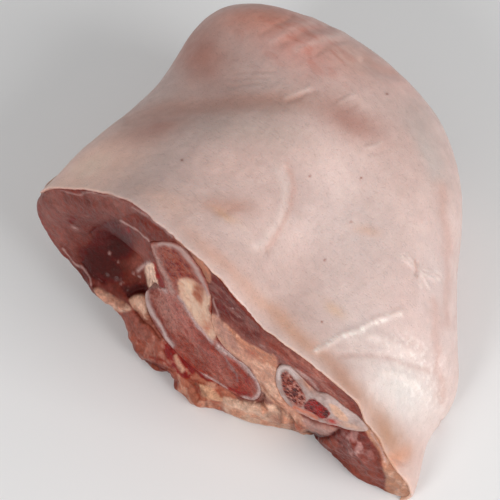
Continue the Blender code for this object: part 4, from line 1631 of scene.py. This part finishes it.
# %% A material, node by node
class Finish:
    """A material with one Principled shader, built up node by node."""

    def __init__(self, name, **fixed):
        self.material = bpy.data.materials.new(name)
        self.material.use_nodes = True
        self.tree = self.material.node_tree
        self.shader = self.tree.nodes["Principled BSDF"]
        self.place = self.node("ShaderNodeTexCoord", {}, {}, "Object")
        for label, value in fixed.items():
            self.shader.inputs[label.replace("_", " ")].default_value = value

    def node(self, kind, settings, inputs, output=0):
        """A new node: first its settings, then the values or links of its sockets."""
        made = self.tree.nodes.new(kind)
        for label, value in settings.items():
            setattr(made, label, value)
        for label, value in inputs.items():
            self.feed(made.inputs[label], value)
        return Wire(self, made.outputs[output])

    def feed(self, socket, value):
        """Link a wire to a socket, or set the socket's own value."""
        if isinstance(value, Wire):
            self.tree.links.new(value.socket, socket)
        else:
            socket.default_value = value

    def noise(self, size, detail=3.0, stretch=(1, 1, 1), lumpy=0.5):
        """Noise whose clouds are size metres across, stretched along the axes."""
        moved = self.node("ShaderNodeMapping", {}, {"Vector": self.place, "Scale": stretch})
        return self.node("ShaderNodeTexNoise", {}, {
            "Vector": moved, "Scale": 1 / size, "Detail": detail, "Roughness": lumpy})

    def spots(self, size):
        """Distance to the nearest of points that lie about size metres apart."""
        return self.node("ShaderNodeTexVoronoi", {}, {"Vector": self.place, "Scale": 1 / size}, "Distance")

    def band(self, value, low, high, start=0.0, end=1.0):
        """A value spread from low to high, softly held between start and end."""
        return self.node("ShaderNodeMapRange", {"interpolation_type": "SMOOTHSTEP"}, {
            "Value": value, "From Min": low, "From Max": high, "To Min": start, "To Max": end})

    def mix(self, share, first, second, mode="MIX"):
        """Two colours blended by a share."""
        return self.node("ShaderNodeMix", {"data_type": "RGBA", "blend_type": mode}, {
            0: share, 6: first, 7: second}, 2)

    def dress(self, height, strength, distance):
        """Use a height as the bump of the surface."""
        normal = self.node("ShaderNodeBump", {}, {
            "Strength": strength, "Distance": distance, "Height": height})
        self.feed(self.shader.inputs["Normal"], normal)


def grey(value):
    """A grey as a shader colour."""
    return (value, value, value, 1.0)


# %% Rind: pores, short hairs, fine creases, a dull moist gloss
def rind_finish():
    """The skin's colour times mottle, pores, dust and hairs, over fine creases."""
    made = Finish("pork_rind", Specular_IOR_Level=0.4, Subsurface_Weight=0.12, Subsurface_Scale=0.004,
                  Subsurface_Radius=(1.0, 0.45, 0.3), Coat_Roughness=0.35, Coat_Weight=0.12)
    tint = made.node("ShaderNodeAttribute", {"attribute_name": "tissue"}, {}, "Color")
    mottle = made.noise(0.005, 4.0)
    pores = made.band(made.spots(0.0013), 0.08, 0.22)
    hairs = made.band(made.noise(0.0007, 1.0, (0.22, 0.8, 0.8)), 0.60, 0.70)
    dust = made.noise(0.0005, 2.0)
    shade = made.band(mottle, 0.3, 0.7, 0.96, 1.03) * made.band(pores, 0, 1, 0.95, 1.0)
    shade = shade * made.band(dust, 0.3, 0.7, 0.965, 1.035) * (1.0 - 0.07 * hairs)
    made.feed(made.shader.inputs["Base Color"], made.mix(1.0, tint, shade, "MULTIPLY"))
    made.feed(made.shader.inputs["Roughness"], made.band(mottle, 0.3, 0.7, 0.50, 0.38))
    creases = made.noise(0.0022, 4.0, (1.0, 0.45, 1.0), 0.6)
    made.dress(0.5 * creases + 0.3 * pores + 0.15 * dust - 0.15 * hairs, 0.38, 0.0006)
    return made.material


# %% Flesh: fibres, flecks and a wet film
def flesh_finish():
    """The tissue's colour times short fibres and flecks, which also give relief."""
    made = Finish("raw_flesh", Specular_IOR_Level=0.23, Specular_Tint=(1.0, 0.58, 0.48, 1.0),
                  Subsurface_Weight=0.08, Subsurface_Scale=0.003, Subsurface_Radius=(1.0, 0.3, 0.2),
                  Coat_Roughness=0.15, Coat_Weight=0.07)
    tint = made.node("ShaderNodeAttribute", {"attribute_name": "tissue"}, {}, "Color")
    fibres = made.noise(0.0014, 4.0, (1.0, 1.0, 0.5), 0.6)
    flecks = made.noise(0.0006, 3.0)
    shade = made.band(fibres, 0.3, 0.7, 0.82, 1.14) * made.band(flecks, 0.35, 0.75, 0.92, 1.18)
    made.feed(made.shader.inputs["Base Color"], made.mix(1.0, tint, shade, "MULTIPLY"))
    made.feed(made.shader.inputs["Roughness"], made.band(fibres, 0.3, 0.7, 0.30, 0.50))
    made.dress(0.6 * fibres + 0.4 * flecks, 0.7, 0.0008)
    return made.material


# %% Bone: pits of the sawn sponge
def bone_finish():
    """The bone's colour times its pits, as strong as the mesh says it is pitted."""
    made = Finish("sawn_bone", Specular_IOR_Level=0.3, Specular_Tint=(1.0, 0.85, 0.8, 1.0),
                  Subsurface_Weight=0.06, Subsurface_Scale=0.002, Subsurface_Radius=(1.0, 0.4, 0.3),
                  Coat_Roughness=0.2, Coat_Weight=0.10)
    tint = made.node("ShaderNodeAttribute", {"attribute_name": "tissue"}, {}, "Color")
    pits = made.spots(0.0009)
    fine = made.noise(0.0008, 3.0)
    pitted = made.node("ShaderNodeAttribute", {"attribute_name": "pitted"}, {}, "Fac")
    rough = made.band(pits, 0.05, 0.5, 0.68, 1.08) * made.band(fine, 0.3, 0.7, 0.84, 1.14)
    shade = 1.0 + pitted * (rough - 1.0)
    made.feed(made.shader.inputs["Base Color"], made.mix(1.0, tint, shade, "MULTIPLY"))
    made.feed(made.shader.inputs["Roughness"], made.band(fine, 0.3, 0.7, 0.34, 0.5))
    made.dress(pitted * (0.6 * pits + 0.4 * fine), 0.7, 0.0008)
    return made.material


# %% Each piece gets its material
rind_piece.data.materials.append(rind_finish())
flesh.data.materials.append(flesh_finish())
sawn = bone_finish()
for piece in bone_pieces.values():
    piece.data.materials.append(sawn)
print("materials:", [material.name for material in bpy.data.materials])

# %% [markdown]
# ## What stands for what
#
# The flesh and the rind together stand for the solid of the meat, and each fine
# bone stands for its own solid. All of it is one body.

# %% Ties to the frame
for piece, node, slot in ((flesh, "hock_meat", "muscle"), (rind_piece, "hock_meat", "rind"),
                          (bone_pieces["shin_bone"], "shin_bone", "sawn_bone"),
                          (bone_pieces["calf_bone"], "calf_bone", "small_bone")):
    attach(piece, "root")
    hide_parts(node)
    print(piece.name, "stands for", node)

# %% [markdown]
# ## Floor and light
#
# A plain pale floor, one large soft light from the right, a smaller one from
# the front, and a pale sky that fills the shadows.

# %% Floor
FLOOR_HALF, FLOOR_Z = 2.5, -0.0002
FLOOR_GREY = 0.86
floor_mesh = bpy.data.meshes.new("floor")
floor_corners = [(x * FLOOR_HALF, y * FLOOR_HALF, FLOOR_Z) for x, y in ((-1, -1), (1, -1), (1, 1), (-1, 1))]
floor_mesh.from_pydata(floor_corners, [], [(0, 1, 2, 3)])
floor = bpy.data.objects.new("floor", floor_mesh)
bpy.context.collection.objects.link(floor)
floor_finish = Finish("pale_floor", Roughness=0.9)
floor_finish.shader.inputs["Base Color"].default_value = grey(FLOOR_GREY)
floor.data.materials.append(floor_finish.material)


# %% Lights
def soft_light(name, azimuth, height, distance, size, watts):
    """A square area light that faces the hock from an azimuth and a height."""
    data = bpy.data.lights.new(name, "AREA")
    data.shape = "SQUARE"
    data.size = size
    data.energy = watts
    light = bpy.data.objects.new(name, data)
    side, rise = math.radians(azimuth), math.radians(height)
    way = Vector((math.sin(side) * math.cos(rise), -math.cos(side) * math.cos(rise), math.sin(rise)))
    light.location = way * distance
    light.rotation_euler = way.to_track_quat("Z", "Y").to_euler()
    bpy.context.collection.objects.link(light)


SKY_STRENGTH = 0.36
soft_light("key", azimuth=95, height=26, distance=1.2, size=0.8, watts=11)
soft_light("front", azimuth=8, height=32, distance=1.3, size=0.4, watts=6)
world = bpy.data.worlds.new("sky")
world.use_nodes = True
world.node_tree.nodes["Background"].inputs["Color"].default_value = grey(1.0)
world.node_tree.nodes["Background"].inputs["Strength"].default_value = SKY_STRENGTH
bpy.context.scene.world = world
bpy.context.scene.view_settings.view_transform = "Standard"
